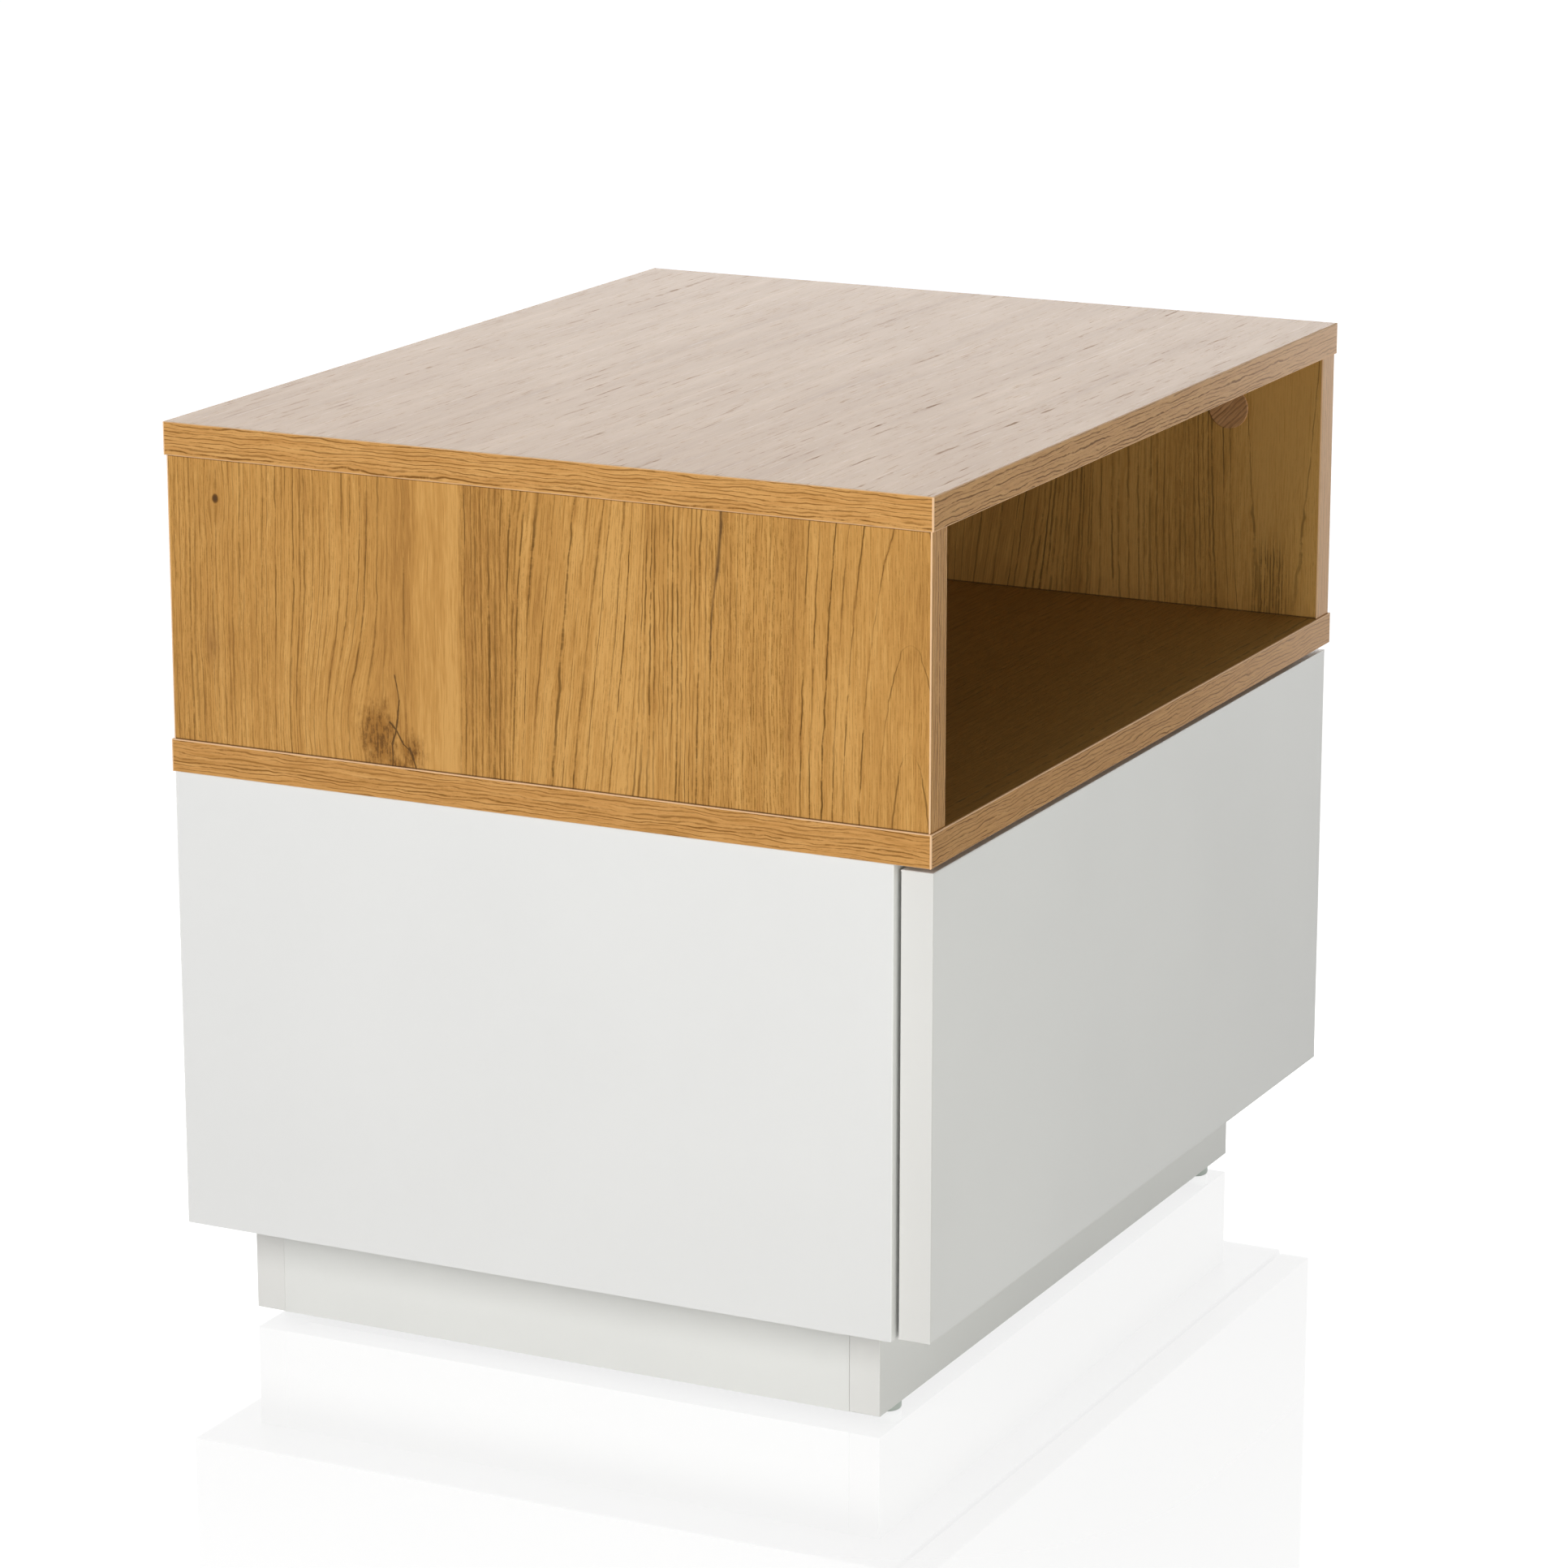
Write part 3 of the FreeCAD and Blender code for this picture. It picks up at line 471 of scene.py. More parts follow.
@dataclass(frozen=True)
class Strip:
    """A strip of a board, from where the strip before it ends. Lengths are in millimetres."""
    end: float          # where it ends, across the board
    spacing: float      # between its growth lines
    bold: float         # how dark they are
    fine: float         # how dark the pores between them are
    lean: float = 0.0   # how far the lines lean sideways for each millimetre of height
    tone: float = 0.0   # how much browner the wood is


# how far to either side of a strip's end its values go over into the next one's
STRIP_SOFT = {"lean": 14.0, "spacing": 0.2, "bold": 2.0, "fine": 4.0, "tone": 3.0}

UPRIGHT_GLOSS = 0.25

RIGHT_OAK = Oak(seed=37.0, heart=-176.0, slope=0.1, tip=520.0, wander=3.0, fine=1.3,
                bold=1.1, growth=INNER_GROWTH, fibre=2.2, clouds=1.4, shade=0.2,
                wash=INNER_WASH, woods=UPRIGHT_WOODS, gloss=UPRIGHT_GLOSS)
RIGHT_STRIPS = (
    Strip(end=-157.5, spacing=9.0, bold=0.0, fine=0.2, tone=-0.3),
    Strip(end=-150.0, spacing=7.5, bold=1.0, fine=0.3, tone=-0.2),
    Strip(end=-137.0, spacing=6.5, bold=0.9, fine=0.5, tone=-0.15),
    Strip(end=-115.0, spacing=2.5, bold=0.75, fine=0.8, tone=-0.05),
    Strip(end=-95.0, spacing=3.4, bold=0.7, fine=0.6, tone=-0.09),
    Strip(end=-70.0, spacing=5.2, bold=0.85, fine=0.4, tone=-0.1),
    Strip(end=-42.0, spacing=2.4, bold=0.9, fine=0.5, lean=0.06, tone=0.04),
    Strip(end=10.0, spacing=5.8, bold=1.0, fine=0.5, lean=0.15, tone=0.14),
    Strip(end=60.0, spacing=2.4, bold=0.7, fine=0.8, tone=0.1),
    Strip(end=120.0, spacing=4.6, bold=0.8, fine=0.5, tone=-0.08),
    Strip(end=220.0, spacing=3.0, bold=0.7, fine=0.8),
)

LEFT_OAK = Oak(seed=11.0, heart=-189.0, slope=0.136, tip=257.0, wander=3.0, fine=1.1,
               bold=1.05, growth=OUTER_GROWTH, fibre=1.8, clouds=1.5, first=-193.1,
               even=-165.0, woods=UPRIGHT_WOODS, gloss=UPRIGHT_GLOSS)
LEFT_STRIPS = (
    Strip(end=-175.2, spacing=5.95, bold=1.0, fine=0.6, tone=-0.04),
    Strip(end=-168.0, spacing=7.2, bold=1.0, fine=0.6, tone=-0.04),
    Strip(end=-159.2, spacing=8.8, bold=1.0, fine=0.6, tone=-0.04),
    Strip(end=-130.0, spacing=5.8, bold=1.0, fine=0.6, tone=-0.04),
    Strip(end=-85.0, spacing=3.4, bold=0.45, fine=1.1, tone=0.0),
    Strip(end=-50.0, spacing=2.3, bold=0.85, fine=0.35, tone=-0.12),
    Strip(end=10.0, spacing=6.2, bold=1.0, fine=0.65, lean=0.1, tone=-0.14),
    Strip(end=41.0, spacing=3.1, bold=0.9, fine=0.8, tone=-0.02),
    Strip(end=67.0, spacing=4.0, bold=0.0, fine=0.15, tone=-0.14),
    Strip(end=84.0, spacing=7.0, bold=0.5, fine=0.35, tone=0.08),
    Strip(end=112.0, spacing=4.8, bold=0.8, fine=0.55, tone=-0.04),
    Strip(end=150.0, spacing=3.4, bold=0.65, fine=0.6, tone=-0.06),
    Strip(end=175.0, spacing=3.0, bold=0.6, fine=0.6, tone=-0.06),
    Strip(end=220.0, spacing=3.0, bold=0.6, fine=0.75, tone=0.0),
)


def of_strip(g, place, strips, name):
    """The named value of the strip that place lies in."""
    value = getattr(strips[0], name)
    for before, after in zip(strips, strips[1:]):
        change = getattr(after, name) - getattr(before, name)
        if change:
            value = value + g.beyond(place, before.end, STRIP_SOFT[name], 0.0, change)
    return value


def lines_passed(g, place, strips, start):
    """How many growth lines lie between start and place."""
    passed = 0.0
    for strip in strips:
        count = (strip.end - start) / strip.spacing
        share = g.node("ShaderNodeMapRange", place, start, strip.end, 0.0, count)
        passed = passed + Field(g, share.outputs[0])
        start = strip.end
    return passed


def strip_print(g, across, along, oak, strips):
    """Growth lines, pores and tone of an upright laid out in strips."""
    lean = of_strip(g, across, strips, "lean")
    leant = across + lean * (along - UPRIGHT_HALFWAY)
    wood, steep, straight = wood_place(g, leant, along, oak)
    spacing = of_strip(g, wood, strips, "spacing")
    phase = lines_passed(g, wood, strips, oak.first)
    loose = g.step(wood, oak.even, oak.even + 25.0, 0.1, 1.1)
    phase = phase + g.spots(wood, along, 8, 300, oak.seed + 1.7) * loose
    uneven = g.step(g.spots(wood, along, 7, 70, oak.seed + 9.1), -0.16, 0.1, 0.4, 1.0)
    bold = of_strip(g, wood, strips, "bold") * uneven * oak.bold
    lines = inked(g, phase, spacing, along, oak.growth, oak.seed, steep) * bold
    beside = inked(g, phase, spacing, along, BESIDE_GROWTH, oak.seed, steep) * bold
    pores = ruled(g, straight, oak.pore_spacing, along, oak.pores, oak.seed + 20)
    more = ruled(g, straight, WIDE_PORE_SPACING, along, oak.pores, oak.seed + 30)
    pores = g.highest(pores, more) * of_strip(g, wood, strips, "fine") * oak.fine
    tone = oak_tone(g, straight, along, oak) + of_strip(g, wood, strips, "tone")
    return lines, pores, tone + BESIDE_TONE * beside


FOOT_SEAM_SHADOW = 0.8           # darkness of the hairline along an upright's foot, a joint with painted contact shadow
HEAD_SEAM_SHADOW = 0.5           # and along its head


def with_seam_shadows(g, along, colour):
    """Dark hairlines where an upright meets the boards below and above it: the joints,
    darkened with painted contact shadow.
    """
    foot = g.step(along, UPRIGHT_FOOT + 0.3, UPRIGHT_FOOT + 0.8, FOOT_SEAM_SHADOW, 0.0)
    head = g.step(along, UPRIGHT_HEAD - 0.7, UPRIGHT_HEAD - 0.3, 0.0, HEAD_SEAM_SHADOW)
    return g.mix(foot + head, colour, OAK_SEAM_SHADOW)


@dataclass(frozen=True)
class Spot:
    """A soft oval on a board. Lengths are in millimetres."""
    across: float
    along: float
    width: float
    length: float
    strength: float = 1.0

    def field(self, g, across, along):
        """Its strength in its middle, falling off to 0 all round."""
        wide = g.hill(across - self.across, self.width)
        oval = wide * g.hill(along - self.along, self.length)
        return oval if self.strength == 1.0 else oval * self.strength


INNER_PATCH = Spot(across=-172.0, along=308.0, width=11.0, length=30.0)
PATCH_SPACING = 1.7       # between the fine lines in it
PATCH_TONE = 0.3          # how much browner it is
OUTER_LINES = 0.6         # strength of the outer face's lines, to the inner face's 1


def right_upright():
    """Its inner face shows: a plain pointed arch upside down over a dark patch of fine lines.
    On its outer face the lines are fainter."""
    oak = RIGHT_OAK
    g = Surface("oak_upright_right")
    across, along = g.y, g.z
    lines, pores, tone = strip_print(g, across, along, oak, RIGHT_STRIPS)
    patch = INNER_PATCH.field(g, across, along)
    close = ruled(g, across + lines, PATCH_SPACING, along, oak.growth, oak.seed + 6)
    lines = g.highest(lines, close * g.step(patch, 0.15, 0.6))
    lines = lines * g.beyond(g.x, UPRIGHT_MIDDLE, 1.0, 1.0, OUTER_LINES)
    tone = tone + PATCH_TONE * patch
    colour = g.mix(oak.shade, oak_colour(g, lines, pores, tone, oak), oak.wash)
    return oak_finish(g, with_seam_shadows(g, along, colour), lines, pores, tone, oak)


# ------------------------------------------------------------ the left upright, with knots

# strength is how far a knot pushes the grain aside
LARGE_KNOT = Spot(across=79.0, along=316.0, width=34.0, length=42.0, strength=0.7)
SMALL_KNOTS = (
    Spot(across=172.5, along=419.3, width=6.0, length=13.0, strength=0.55),
    Spot(across=176.4, along=349.6, width=5.0, length=12.0, strength=0.4),
)

KNOT_DARKNESS = 0.85      # of the large knot's patches, fibres and cracks

# brown patches round the large knot
KNOT_PATCHES = (
    Spot(across=85.5, along=313.0, width=10.5, length=17.0),
    Spot(across=68.0, along=308.0, width=8.0, length=10.0, strength=0.75),
    Spot(across=77.0, along=299.0, width=12.0, length=7.0, strength=0.8),
)

# what shows of the two small knots
UPPER_EYE = Spot(across=172.5, along=419.3, width=1.55, length=2.1)
UPPER_HALO = Spot(across=172.0, along=417.0, width=5.5, length=15.0)
LOWER_SMUDGE = Spot(across=176.4, along=349.6, width=3.6, length=11.0)


@dataclass(frozen=True)
class Crack:
    """A straight piece of a crack. Its ends are places across and along the board."""
    start: tuple
    end: tuple
    width: float


# the large knot's cracks, which meet at a fork
FORK = (76.2, 317.7)
UPPER_BEND = (74.4, 332.0)
LEFT_BEND = (78.4, 310.5)
RIGHT_BEND = (72.4, 311.2)
LOW_BEND = (67.2, 304.5)
CRACKS = (
    Crack(start=(76.5, 344.0), end=UPPER_BEND, width=0.3),
    Crack(start=UPPER_BEND, end=FORK, width=0.5),
    Crack(start=(79.5, 321.0), end=FORK, width=0.6),
    Crack(start=FORK, end=LEFT_BEND, width=0.55),
    Crack(start=LEFT_BEND, end=(78.5, 300.0), width=0.4),
    Crack(start=FORK, end=RIGHT_BEND, width=0.5),
    Crack(start=RIGHT_BEND, end=(69.0, 308.5), width=0.3),
    Crack(start=(69.0, 309.5), end=LOW_BEND, width=0.75),
    Crack(start=LOW_BEND, end=(65.6, 300.0), width=0.45),
)

# the dark streak, which leans a little and is wider in its upper part
STREAK_START = 372.0      # its height above which it is full
STREAK_FOOT = -88.8       # its place across the board there
STREAK_HEAD = -94.5       # and at the board's upper edge
STREAK_THIN = 0.45        # half its width below
STREAK_WIDER = 0.5        # and how much wider it is above


def towards(g, point, start, end):
    """Distance from a point on the board to the line from start to end."""
    def vector_math(operation, *values):
        return g.node("ShaderNodeVectorMath", *values, operation=operation).outputs
    reach = Vector((*end, 0)) - Vector((*start, 0))
    offset = vector_math("SUBTRACT", point, (*start, 0))["Vector"]
    share = vector_math("DOT_PRODUCT", offset, tuple(reach))["Value"]
    share = g.math("MULTIPLY", share, 1 / reach.length_squared, clamp=True)
    miss = vector_math("SUBTRACT", offset, g.scaled(tuple(reach), share))["Vector"]
    return Field(g, vector_math("LENGTH", miss)["Value"])


def round_knots(g, across, along):
    """The place across the board, with the grain bent round the knots."""
    bent = across
    for knot in (LARGE_KNOT, *SMALL_KNOTS):
        near = knot.field(g, across, along)
        if knot is LARGE_KNOT:      # it leaves the plain stripe in front of it straight
            near = near * g.step(across, knot.across - 14, knot.across + 6)
        bent = bent - (across - knot.across) * near
    return bent


def with_patches(g, across, along, ragged, colour):
    """Brown patches with dark fibres round the large knot."""
    mottled = g.spots(across, along, 1.6, 2.6, 27.0, 3.0, 0.65)
    streaky = g.spots(across, along, 1.1, 9, 33.0, 2.0)
    patch = g.highest(*[spot.field(g, across, along) for spot in KNOT_PATCHES])
    patch = g.step(patch + ragged * 0.9 + mottled * 0.3, 0.15, 0.9)
    fibres = g.step(streaky + mottled * 0.8, -0.1, 0.16)
    colour = g.mix(patch * KNOT_DARKNESS, colour, KNOT_PATCH)
    return g.mix(patch * fibres * KNOT_DARKNESS, colour, KNOT_FIBRE)


def cracked(g, across, along, ragged):
    """1 in the large knot's cracks."""
    point = g.vector(across + ragged * 1.4, along + ragged * 1.0)
    return g.highest(*[
        g.step(towards(g, point, crack.start, crack.end),
               0.4 * crack.width, 1.3 * crack.width, 1.0, 0.0)
        for crack in CRACKS])


def with_small_knots(g, across, along, ragged, colour):
    """The upper small knot's dark eye and halo, and the lower one's smudge."""
    halo = UPPER_HALO.field(g, across, along)
    smudge = LOWER_SMUDGE.field(g, across, along)
    eye = UPPER_EYE.field(g, across, along) + ragged * 0.3
    colour = g.mix(halo * (0.45 + ragged), colour, KNOT_HALO)
    colour = g.mix(smudge * (0.5 + ragged), colour, KNOT_SMUDGE)
    colour = g.mix(g.step(eye, 0.15, 0.5), colour, KNOT_FIBRE)
    return g.mix(g.step(eye, 0.55, 0.8) * 0.9, colour, KNOT_CRACK)


def with_streak(g, across, along, ragged, colour):
    """The dark streak down from the board's upper edge."""
    middle = g.step(along, STREAK_START, UPRIGHT_HEAD, STREAK_FOOT, STREAK_HEAD)
    width = STREAK_THIN + STREAK_WIDER * g.step(along, 398.0, 412.0)
    streak = g.hill(across - middle + ragged * 1.2, width)
    streak = streak * g.step(along, STREAK_START - 10, STREAK_START + 2) * (0.85 + ragged)
    return g.mix(streak, colour, STREAK_INK)


def left_upright():
    """Its outer face shows: knots, cracks, a pale stripe, a dark streak and pointed arches."""
    oak = LEFT_OAK
    g = Surface("oak_upright_left")
    across, along = g.y, g.z
    bent = round_knots(g, across, along)
    lines, pores, tone = strip_print(g, bent, along, oak, LEFT_STRIPS)
    ragged = g.spots(across, along, 4, 7, 21.0, 3.0, 0.6)
    colour = oak_colour(g, lines, pores, tone, oak)
    colour = with_patches(g, across, along, ragged, colour)
    split = cracked(g, across, along, ragged)
    colour = g.mix(split * KNOT_DARKNESS, colour, KNOT_CRACK)
    colour = with_small_knots(g, across, along, ragged, colour)
    colour = with_streak(g, across, along, ragged, colour)
    colour = with_seam_shadows(g, along, colour)
    return oak_finish(g, colour, g.highest(lines, split), pores, tone, oak)


# ------------------------------------------------------------ edge bands

BAND_SPACING = 1.9        # between a band's dark rows
SPECK_SPACING = 0.9       # and between its specks
BAND_WAVE = 4.0           # how far the rows wave over some 30 mm
BAND_RIPPLE = 0.9         # and ripple over some 7 mm
BAND_ROUGHNESS = 0.55
BAND_GLOSS = 0.15
END_SOFT = 0.02           # over how much a band's face ends at its arris
LIP_SOFT = 0.1            # and its light rim
ARRIS = (0.25, 0.6)       # how far its surface turns away from its face to show its core
FACING = (0.7, 0.8)       # how far a surface looks forwards or back to be a face there
SIDE_SHIFT = 40.0         # keeps the side bands' print from repeating the front ones'
FRONT_PAINTED_SHADE = 0.2         # how far the front and rear bands are darkened: painted shade by the way they face
SHEEN_REACH = 300.0      # right of the table's middle, where the painted sheen on the front bands is full


def bands_round(g, level, rim_side, rim_light):
    """The bands on all four edges of a flat board: the place along and across them, and where
    their light core shows."""
    side = g.beyond(abs(g.x), TABLE_X - BAND, END_SOFT)
    corner = side * g.beyond(abs(g.y), TABLE_Y - BAND, END_SOFT)
    rim = g.step(abs(g.nz), *ARRIS)
    lip = g.beyond((g.z - level) * rim_side, BOARD / 2 - BAND_LIP, LIP_SOFT)
    core = g.highest(rim, corner, lip * rim_light)
    return g.blend(side, g.x, g.y), g.z + SIDE_SHIFT * side, core


def bands_upright(g):
    """The same for the front and rear bands of an upright."""
    return g.z, g.x, g.step(abs(g.nx), *ARRIS)


def oak_bands(name, seed, level=None, rim_side=1.0, rim_light=1.0, darker=0.0, sheen=0.55):
    """Printed plastic bands: of a flat board whose middle lies at the height level, or of an
    upright where no level is given. A flat board's bands have a light rim on the upper side
    where rim_side is 1, and on the lower side where it is -1. rim_light is how light it is.
    The last argument is how much paler the front bands become towards the right: a painted
    sheen."""
    g = Surface(name)
    if level is None:
        along, across, core = bands_upright(g)
    else:
        along, across, core = bands_round(g, level, rim_side, rim_light)
    wave = g.noise(g.vector(along / 30, across / 8, seed)) * BAND_WAVE
    ripple = g.noise(g.vector(along / 7, across / 3, seed + 2)) * BAND_RIPPLE
    wood = across + wave + ripple
    dashes = ruled(g, wood, BAND_SPACING, along, BAND_ROWS, seed + 3)
    specks = ruled(g, wood, SPECK_SPACING, along, BAND_SPECKS, seed + 9)
    tone = g.spots(wood, along, 2.2, 40, seed + 6, 3.0, 0.6) + darker
    colour = g.mix(g.beyond(tone, 0.0, 0.2), *BAND_WOODS)
    colour = g.mix(g.step(tone, 0.1, 0.5), colour, BAND_SPECK)
    colour = g.mix(specks * 0.6, colour, BAND_SPECK)
    colour = g.mix(dashes, colour, BAND_LINE)
    # painted shade: bands that face forwards or back are drawn darker
    colour = g.mix(g.step(abs(g.ny), *FACING) * FRONT_PAINTED_SHADE, colour, BAND_PAINTED_SHADE)
    # painted sheen: front-facing bands grow paler towards the right
    painted_sheen = g.step(g.x, 0.0, SHEEN_REACH) * g.step(-g.ny, *FACING)
    colour = g.mix(painted_sheen * sheen, colour, BAND_PAINTED_SHEEN)
    colour = g.mix(core, colour, BAND_CORE)
    g.bump((-0.5 * dashes - 0.3 * specks) * (1.0 - core), RELIEF)
    roughness = BAND_ROUGHNESS + 0.1 * dashes
    return g.finish(colour, roughness, Specular_IOR_Level=BAND_GLOSS)


# ------------------------------------------------------------ white foil, plastics, metals

FOIL_ROUGHNESS = 0.36
BEECH_ROUGHNESS = 0.7
PEEL_HEIGHT = 0.02        # heights of the fine relief, in millimetres
GRAIN_HEIGHT = 0.05
SCRATCH_HEIGHT = 0.02
RAY_HEIGHT = 0.1


def white_foil(name, tones=WHITE, painted_light_up=None):
    """Smooth melamine with a faint orange peel. Its last argument is its colour where it faces
    up, a painted light on its upward faces.
    """
    g = Surface(name)
    cloud = g.grains(120, 120, 120)
    peel = g.grains(0.9, 0.9, 0.9)
    colour = g.mix(g.beyond(cloud, 0.0, 0.3), *tones)
    # painted light: faces that look up are drawn lighter
    if painted_light_up:
        colour = g.mix(g.step(g.nz, 0.8, 0.95), colour, painted_light_up)
    g.bump(peel, PEEL_HEIGHT)
    return g.finish(colour, FOIL_ROUGHNESS + 0.08 * cloud + 0.05 * peel)


def moulded(name, tones, size=0.5, roughness=0.5):
    """Plastic or hardboard with a fine grain of the given size and slightly uneven colour."""
    g = Surface(name)
    grain = g.grains(size, size, size)
    cloud = g.grains(9, 9, 9)
    colour = g.mix(g.beyond(cloud, 0.0, 0.3), *tones)
    g.bump(grain, GRAIN_HEIGHT)
    return g.finish(colour, roughness + 0.1 * grain)


def metal(name, tones, roughness):
    """Plated or cast metal with fine scratches and cloudy tarnish."""
    g = Surface(name)
    scratch = g.grains(0.3, 4.0, 0.3)
    cloud = g.grains(7, 7, 7, 3.0)
    colour = g.mix(g.step(cloud, -0.3, 0.35), *tones)
    g.bump(scratch, SCRATCH_HEIGHT)
    return g.finish(colour, roughness + 0.12 * cloud + 0.1 * scratch, Metallic=1.0)


def dowel_wood(name, tones):
    """Bare beech with its short dark rays."""
    g = Surface(name)
    rays = g.grains(6, 0.5, 6)
    colour = g.mix(g.beyond(rays, 0.0, 0.3), *tones)
    g.bump(rays, RAY_HEIGHT)
    return g.finish(colour, BEECH_ROUGHNESS + 0.1 * rays)


# ------------------------------------------------------------ which material goes where

TOP_OAK = Oak(seed=53.0, spacing=4.6, bold=0.95, growth=TOP_GROWTH, pores=TOP_PORES,
              pore_spacing=1.9, fine=1.45, clouds=0.9, fibre=0.5, pale=0.3, shade=0.15,
              wash=TOP_WASH, matt=0.4, line_ink=TOP_LINE, pore_ink=TOP_PORE)
# its print is drawn far towards a dark olive: painted shade of the compartment
MIDDLE_OAK = Oak(seed=71.0, spacing=3.6, bold=0.9, growth=SHELF_GROWTH, clouds=0.8, fine=1.1,
                 fibre=2.4, shade=0.4)
BACK_OAK = Oak(seed=89.0, spacing=2.8, bold=0.7)

bands_up = oak_bands("oak_bands_up", 15.0)
white_panel = white_foil("white_foil")
white_side = white_foil("white_side", SIDE_WHITE)
# painted shade: the plinth's white is darker than the panels'
shaded_white_plinth = white_foil("shaded_white_plinth", PLINTH_WHITE_SHADED)
steel = metal("bright_steel", STEEL, roughness=0.3)

by_node = {
    "top_board": oak_board("oak_top", TOP_OAK),
    "middle_board": oak_board("oak_middle", MIDDLE_OAK),
    "upright_left": left_upright(),
    "upright_right": right_upright(),
    "top_board_edging": oak_bands("oak_bands_top", 5.0, TOP_LEVEL, rim_side=-1.0,
                                  rim_light=0.5),
    "middle_board_edging": oak_bands("oak_bands_middle", 25.0, MIDDLE_LEVEL, darker=0.09,
                                     sheen=0.38),
    "upright_left_edging": bands_up,
    "upright_right_edging": bands_up,
    "side_panel_left": white_side,
    "side_panel_right": white_side,
    "side_panel_left_edging": white_panel,
    "side_panel_right_edging": white_panel,
    "plinth_front": shaded_white_plinth,
    "plinth_back": shaded_white_plinth,
    "plinth_left": shaded_white_plinth,
    "plinth_right": shaded_white_plinth,
}
by_slot = {
    "oak_back": oak_board("oak_back", BACK_OAK, "x", "z"),
    "white_board": white_panel,
    "white_edge": white_foil("white_band", EDGE_WHITE, EDGE_PAINTED_LIGHT),
    "white_back": moulded("white_hardboard", HARDBOARD_WHITE, size=1.2, roughness=0.6),
    "dowel_wood": dowel_wood("dowel_beech", BEECH),
    "zinc": metal("cast_zinc", ZINC, roughness=0.42),
    "steel": steel,
    "oak_cap": oak_cover(),
    "white_cap": moulded("white_cap", CAP_WHITE, roughness=0.45),
    "glide_plastic": moulded("glide_plastic", GLIDE_GREY),
    "latch_plastic": moulded("latch_plastic", LATCH_GREY, roughness=0.42),
    "magnet": metal("nickel_magnet", NICKEL, roughness=0.28),
}

for name, piece in nodes.items():
    slot = piece.material_slots[0]
    slot.material = by_node.get(name) or by_slot[slot.material.name]

# ------------------------------------------------------------ the latch's spring

SPRING_WIRE = 0.35        # radius of its wire
SPRING_TURNS = 8
TURN_STEPS = 24
WIRE_SIDES = 8


def coil_spring():
    """A coil of wire in the place of the latch's spring, held to the carcass."""
    low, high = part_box("latch_spring")
    middle_x, middle_z = (low[0] + high[0]) / 2, (low[2] + high[2]) / 2
    wire = SPRING_WIRE / 1000
    radius = (high[0] - low[0]) / 2 - wire
    start, end = low[1] + wire, high[1] - wire
    steps = SPRING_TURNS * TURN_STEPS
    points = []
    for step in range(steps + 1):
        angle = math.tau * step / TURN_STEPS
        out = Vector((math.cos(angle), 0.0, math.sin(angle)))
        middle = Vector((middle_x, start + (end - start) * step / steps, middle_z))
        centre = middle + out * radius
        for side in range(WIRE_SIDES):
            turn = math.tau * side / WIRE_SIDES
            offset = out * math.cos(turn) + Vector((0.0, math.sin(turn), 0.0))
            points.append(centre + offset * wire)
    faces = [tuple(reversed(range(WIRE_SIDES))),
             tuple(steps * WIRE_SIDES + side for side in range(WIRE_SIDES))]
    for step in range(steps):
        for side in range(WIRE_SIDES):
            here = step * WIRE_SIDES + side
            beside = step * WIRE_SIDES + (side + 1) % WIRE_SIDES
            faces.append((here, beside, beside + WIRE_SIDES, here + WIRE_SIDES))
    mesh = bpy.data.meshes.new("latch_spring_coil")
    mesh.from_pydata(points, [], faces)
    mesh.polygons.foreach_set("use_smooth", [len(face) == 4 for face in faces])
    mesh.materials.append(steel)
    spring = bpy.data.objects.new("latch_spring_coil", mesh)
    bpy.context.scene.collection.objects.link(spring)
    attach(spring, "carcass")
    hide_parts("latch_spring")
    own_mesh(spring)


coil_spring()

# ------------------------------------------------------------ camera

IMAGE = 1932              # the frame's side, in pixels
LENS_PIXELS = 6748.3      # focal length in those pixels
SENSOR = 36.0
CAMERA_PLACE = (-2.39642, -1.18677, 0.93951)
CAMERA_AZIMUTH = 63.7127  # the heading it looks along, in degrees from +Y towards +X
CAMERA_DIP = 14.6155      # how far it looks down
CLIP_START, CLIP_END = 0.05, 50.0


def photo_camera():
    data = bpy.data.cameras.new("camera")
    data.sensor_width = SENSOR
    data.lens = LENS_PIXELS / IMAGE * SENSOR
    data.clip_start = CLIP_START
    data.clip_end = CLIP_END
    camera = bpy.data.objects.new("camera", data)
    bpy.context.scene.collection.objects.link(camera)
    camera.location = CAMERA_PLACE
    camera.rotation_euler = (math.radians(90 - CAMERA_DIP), 0.0,
                             math.radians(-CAMERA_AZIMUTH))
    bpy.context.scene.camera = camera


photo_camera()

# ------------------------------------------------------------ floor, world, lamps

FLOOR_HALF = 6.0          # half the floor's side, in metres
FLOOR_DROP = 0.0002       # how far it lies under the glides, in metres
FLOOR_BOUNCE = 0.8        # its grey for the light that it throws back on the part
FLOOR_ROUGHNESS = 0.9
FLOOR_SHADE = 0.065       # its grey for shadows, where it is seen
GLOW_NEAR, GLOW_FAR = 0.985, 1.03             # its own light, where it is seen
GLOW_START, GLOW_END = 300.0, 900.0           # between which distances from the plinth
REFLECTION = 0.17         # the polished floor's mirror image beside the plinth
REFLECTION_START, REFLECTION_END = 100.0, 550.0      # distances over which it fades
REFLECTION_ROUGHNESS = 0.03
WORLD_LIGHT = 0.13


def from_plinth(g):
    """Distance from the plinth's outline, in millimetres."""
    away_x = g.highest(abs(g.x) - PLINTH_X, 0.0)
    away_y = g.highest(abs(g.y) - PLINTH_Y, 0.0)
    return g.math("SQRT", away_x * away_x + away_y * away_y)


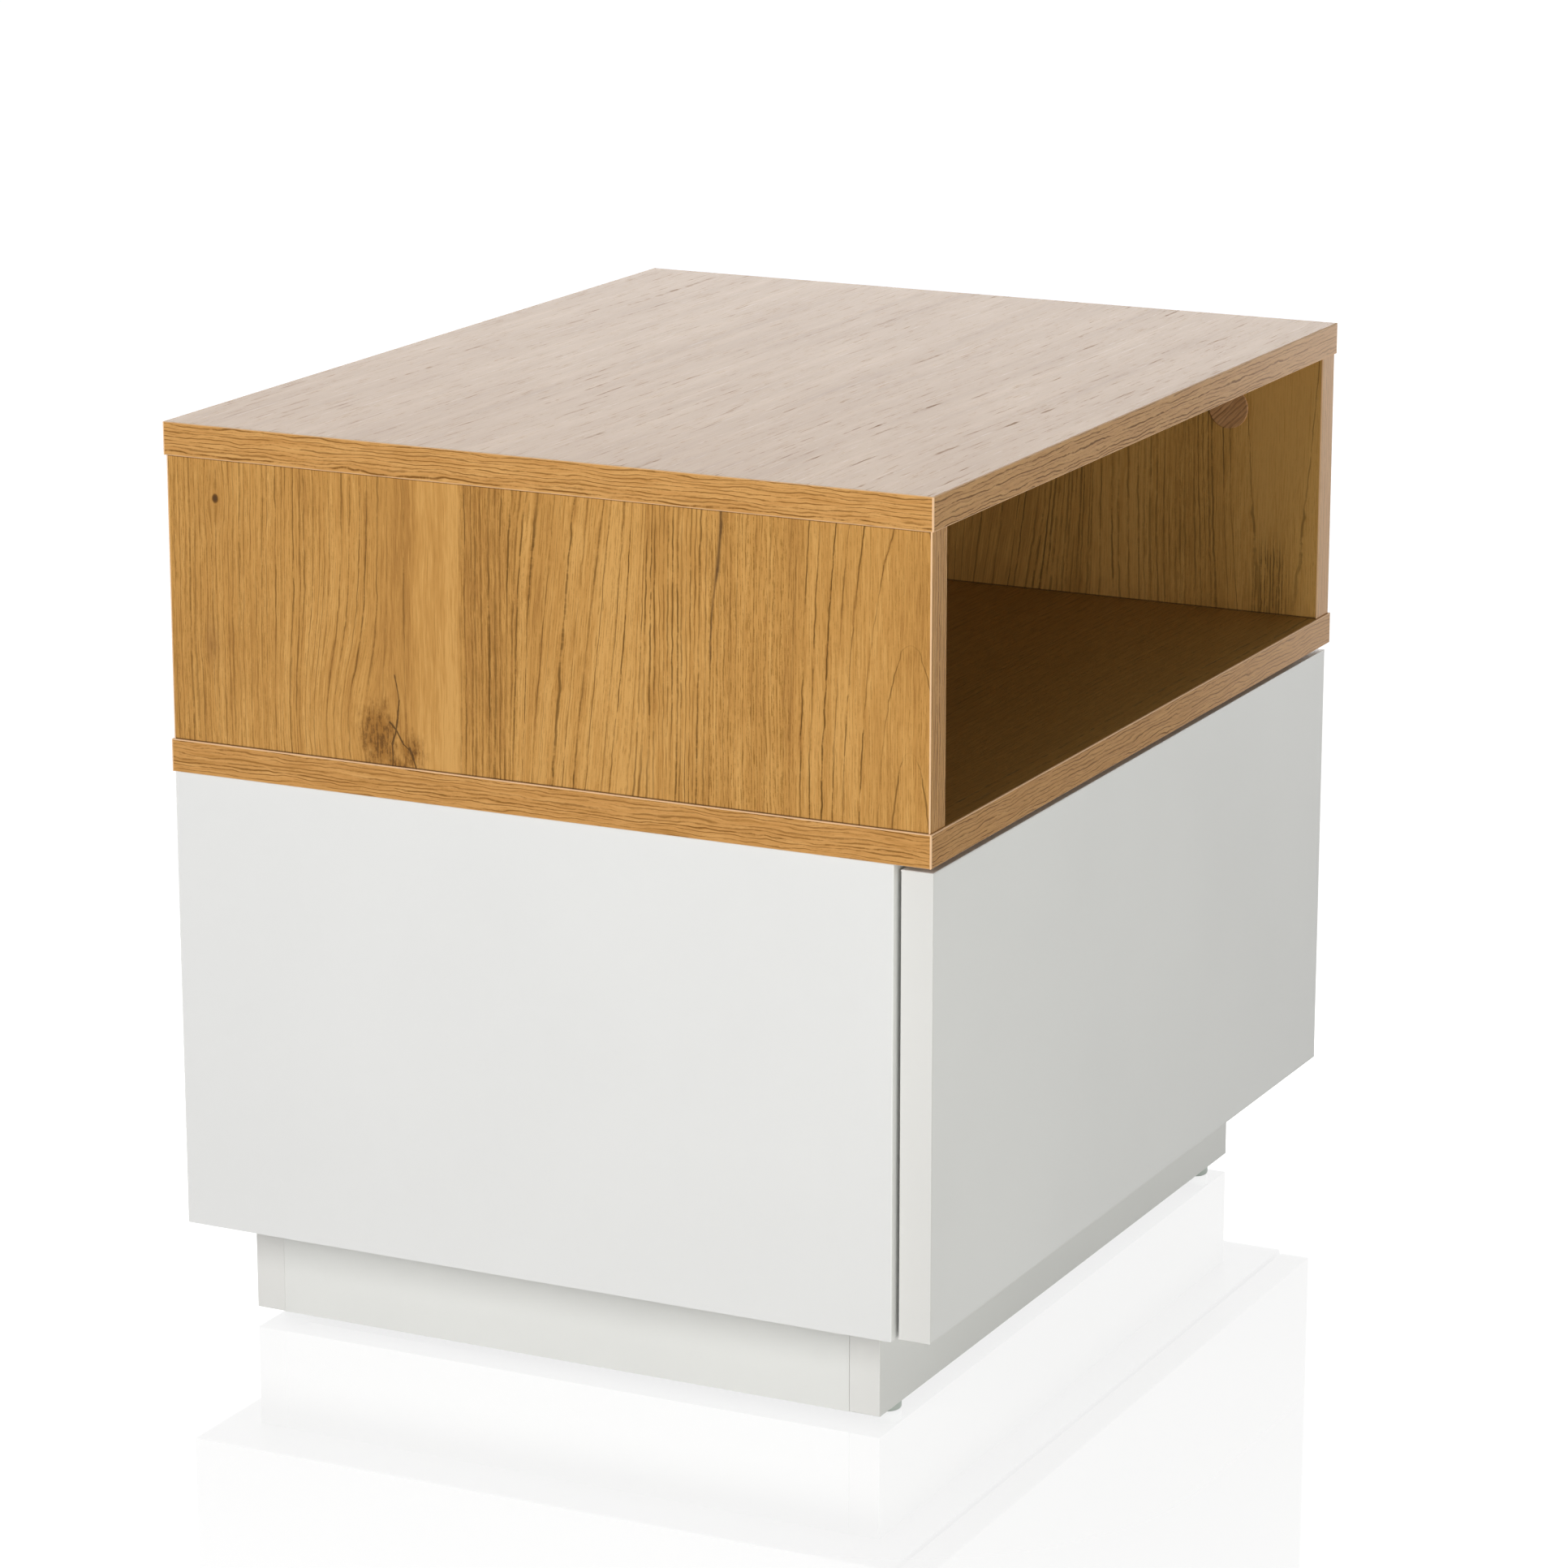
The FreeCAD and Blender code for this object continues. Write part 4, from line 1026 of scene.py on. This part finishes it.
def studio_floor():
    """Polished white paper, where it is seen. To all other light it is plain pale paper."""
    mesh = bpy.data.meshes.new("floor")
    corners = [(x * FLOOR_HALF, y * FLOOR_HALF, -FLOOR_DROP)
               for x, y in ((-1, -1), (1, -1), (1, 1), (-1, 1))]
    mesh.from_pydata(corners, [], [(0, 1, 2, 3)])
    floor = bpy.data.objects.new("floor", mesh)
    bpy.context.scene.collection.objects.link(floor)
    g = Surface("studio_floor")
    g.finish(grey(FLOOR_BOUNCE), FLOOR_ROUGHNESS)
    away = from_plinth(g)
    glow = g.node("ShaderNodeEmission")
    g.feed(glow.inputs["Strength"], g.step(away, GLOW_START, GLOW_END, GLOW_NEAR, GLOW_FAR))
    shade = g.node("ShaderNodeBsdfDiffuse")
    g.feed(shade.inputs["Color"], grey(FLOOR_SHADE))
    paper = g.node("ShaderNodeAddShader", glow.outputs[0], shade.outputs[0])
    mirror = g.node("ShaderNodeBsdfGlossy")
    g.feed(mirror.inputs["Color"], grey(1.0))
    g.feed(mirror.inputs["Roughness"], REFLECTION_ROUGHNESS)
    share = g.step(away, REFLECTION_START, REFLECTION_END, REFLECTION, 0.0)
    seen = g.node("ShaderNodeMixShader", share, paper.outputs[0], mirror.outputs[0])
    choice = g.node("ShaderNodeMixShader", g.shown(), g.shader.outputs[0], seen.outputs[0])
    g.feed(g.output.inputs["Surface"], choice.outputs[0])
    mesh.materials.append(g.material)


def white_world():
    """White where it is seen, and a faint light from all sides."""
    world = bpy.data.worlds.new("studio")
    bpy.context.scene.world = world
    world.use_nodes = True
    g = Graph(world.node_tree)
    back = g.node("ShaderNodeBackground")
    g.feed(back.inputs["Color"], grey(1.0))
    g.feed(back.inputs["Strength"], g.blend(g.shown(), WORLD_LIGHT, 1.0))
    output = g.node("ShaderNodeOutputWorld")
    g.feed(output.inputs["Surface"], back.outputs[0])


def softbox(name, place, target, width, height, power, tint=(1.0, 1.0, 1.0)):
    """A lamp of width by height metres that shines from its place towards the target."""
    data = bpy.data.lights.new(name, "AREA")
    data.shape = "RECTANGLE"
    data.size = width
    data.size_y = height
    data.energy = power
    data.color = tint
    lamp = bpy.data.objects.new(name, data)
    bpy.context.scene.collection.objects.link(lamp)
    lamp.location = place
    aim = Vector(target) - Vector(place)
    lamp.rotation_euler = aim.to_track_quat("-Z", "Y").to_euler()
    return lamp


studio_floor()
white_world()
left_box = softbox("left_box", place=(-3.4, 0.5, 1.8), target=(0.0, 0.0, 0.2),
                   width=2.0, height=2.0, power=81.0)
left_box.visible_glossy = False      # it would glare off the top, seen from the other side
softbox("front_box", place=(-1.2, -2.05, 0.48), target=(0.0, 0.0, 0.25),
        width=1.6, height=0.8, power=18.0, tint=(0.99, 1.0, 0.94))
softbox("back_box", place=(2.7, 1.35, 1.05), target=(0.0, 0.0, 0.45),
        width=2.6, height=1.0, power=21.5)
softbox("right_strip", place=(2.6, -0.3, 0.22), target=(0.0, 0.0, 0.22),
        width=2.0, height=0.4, power=22.0)
softbox("rear_strip", place=(0.4, 2.6, 0.22), target=(0.0, 0.0, 0.22),
        width=2.0, height=0.4, power=16.0)

view = bpy.context.scene.view_settings
view.view_transform = "Standard"
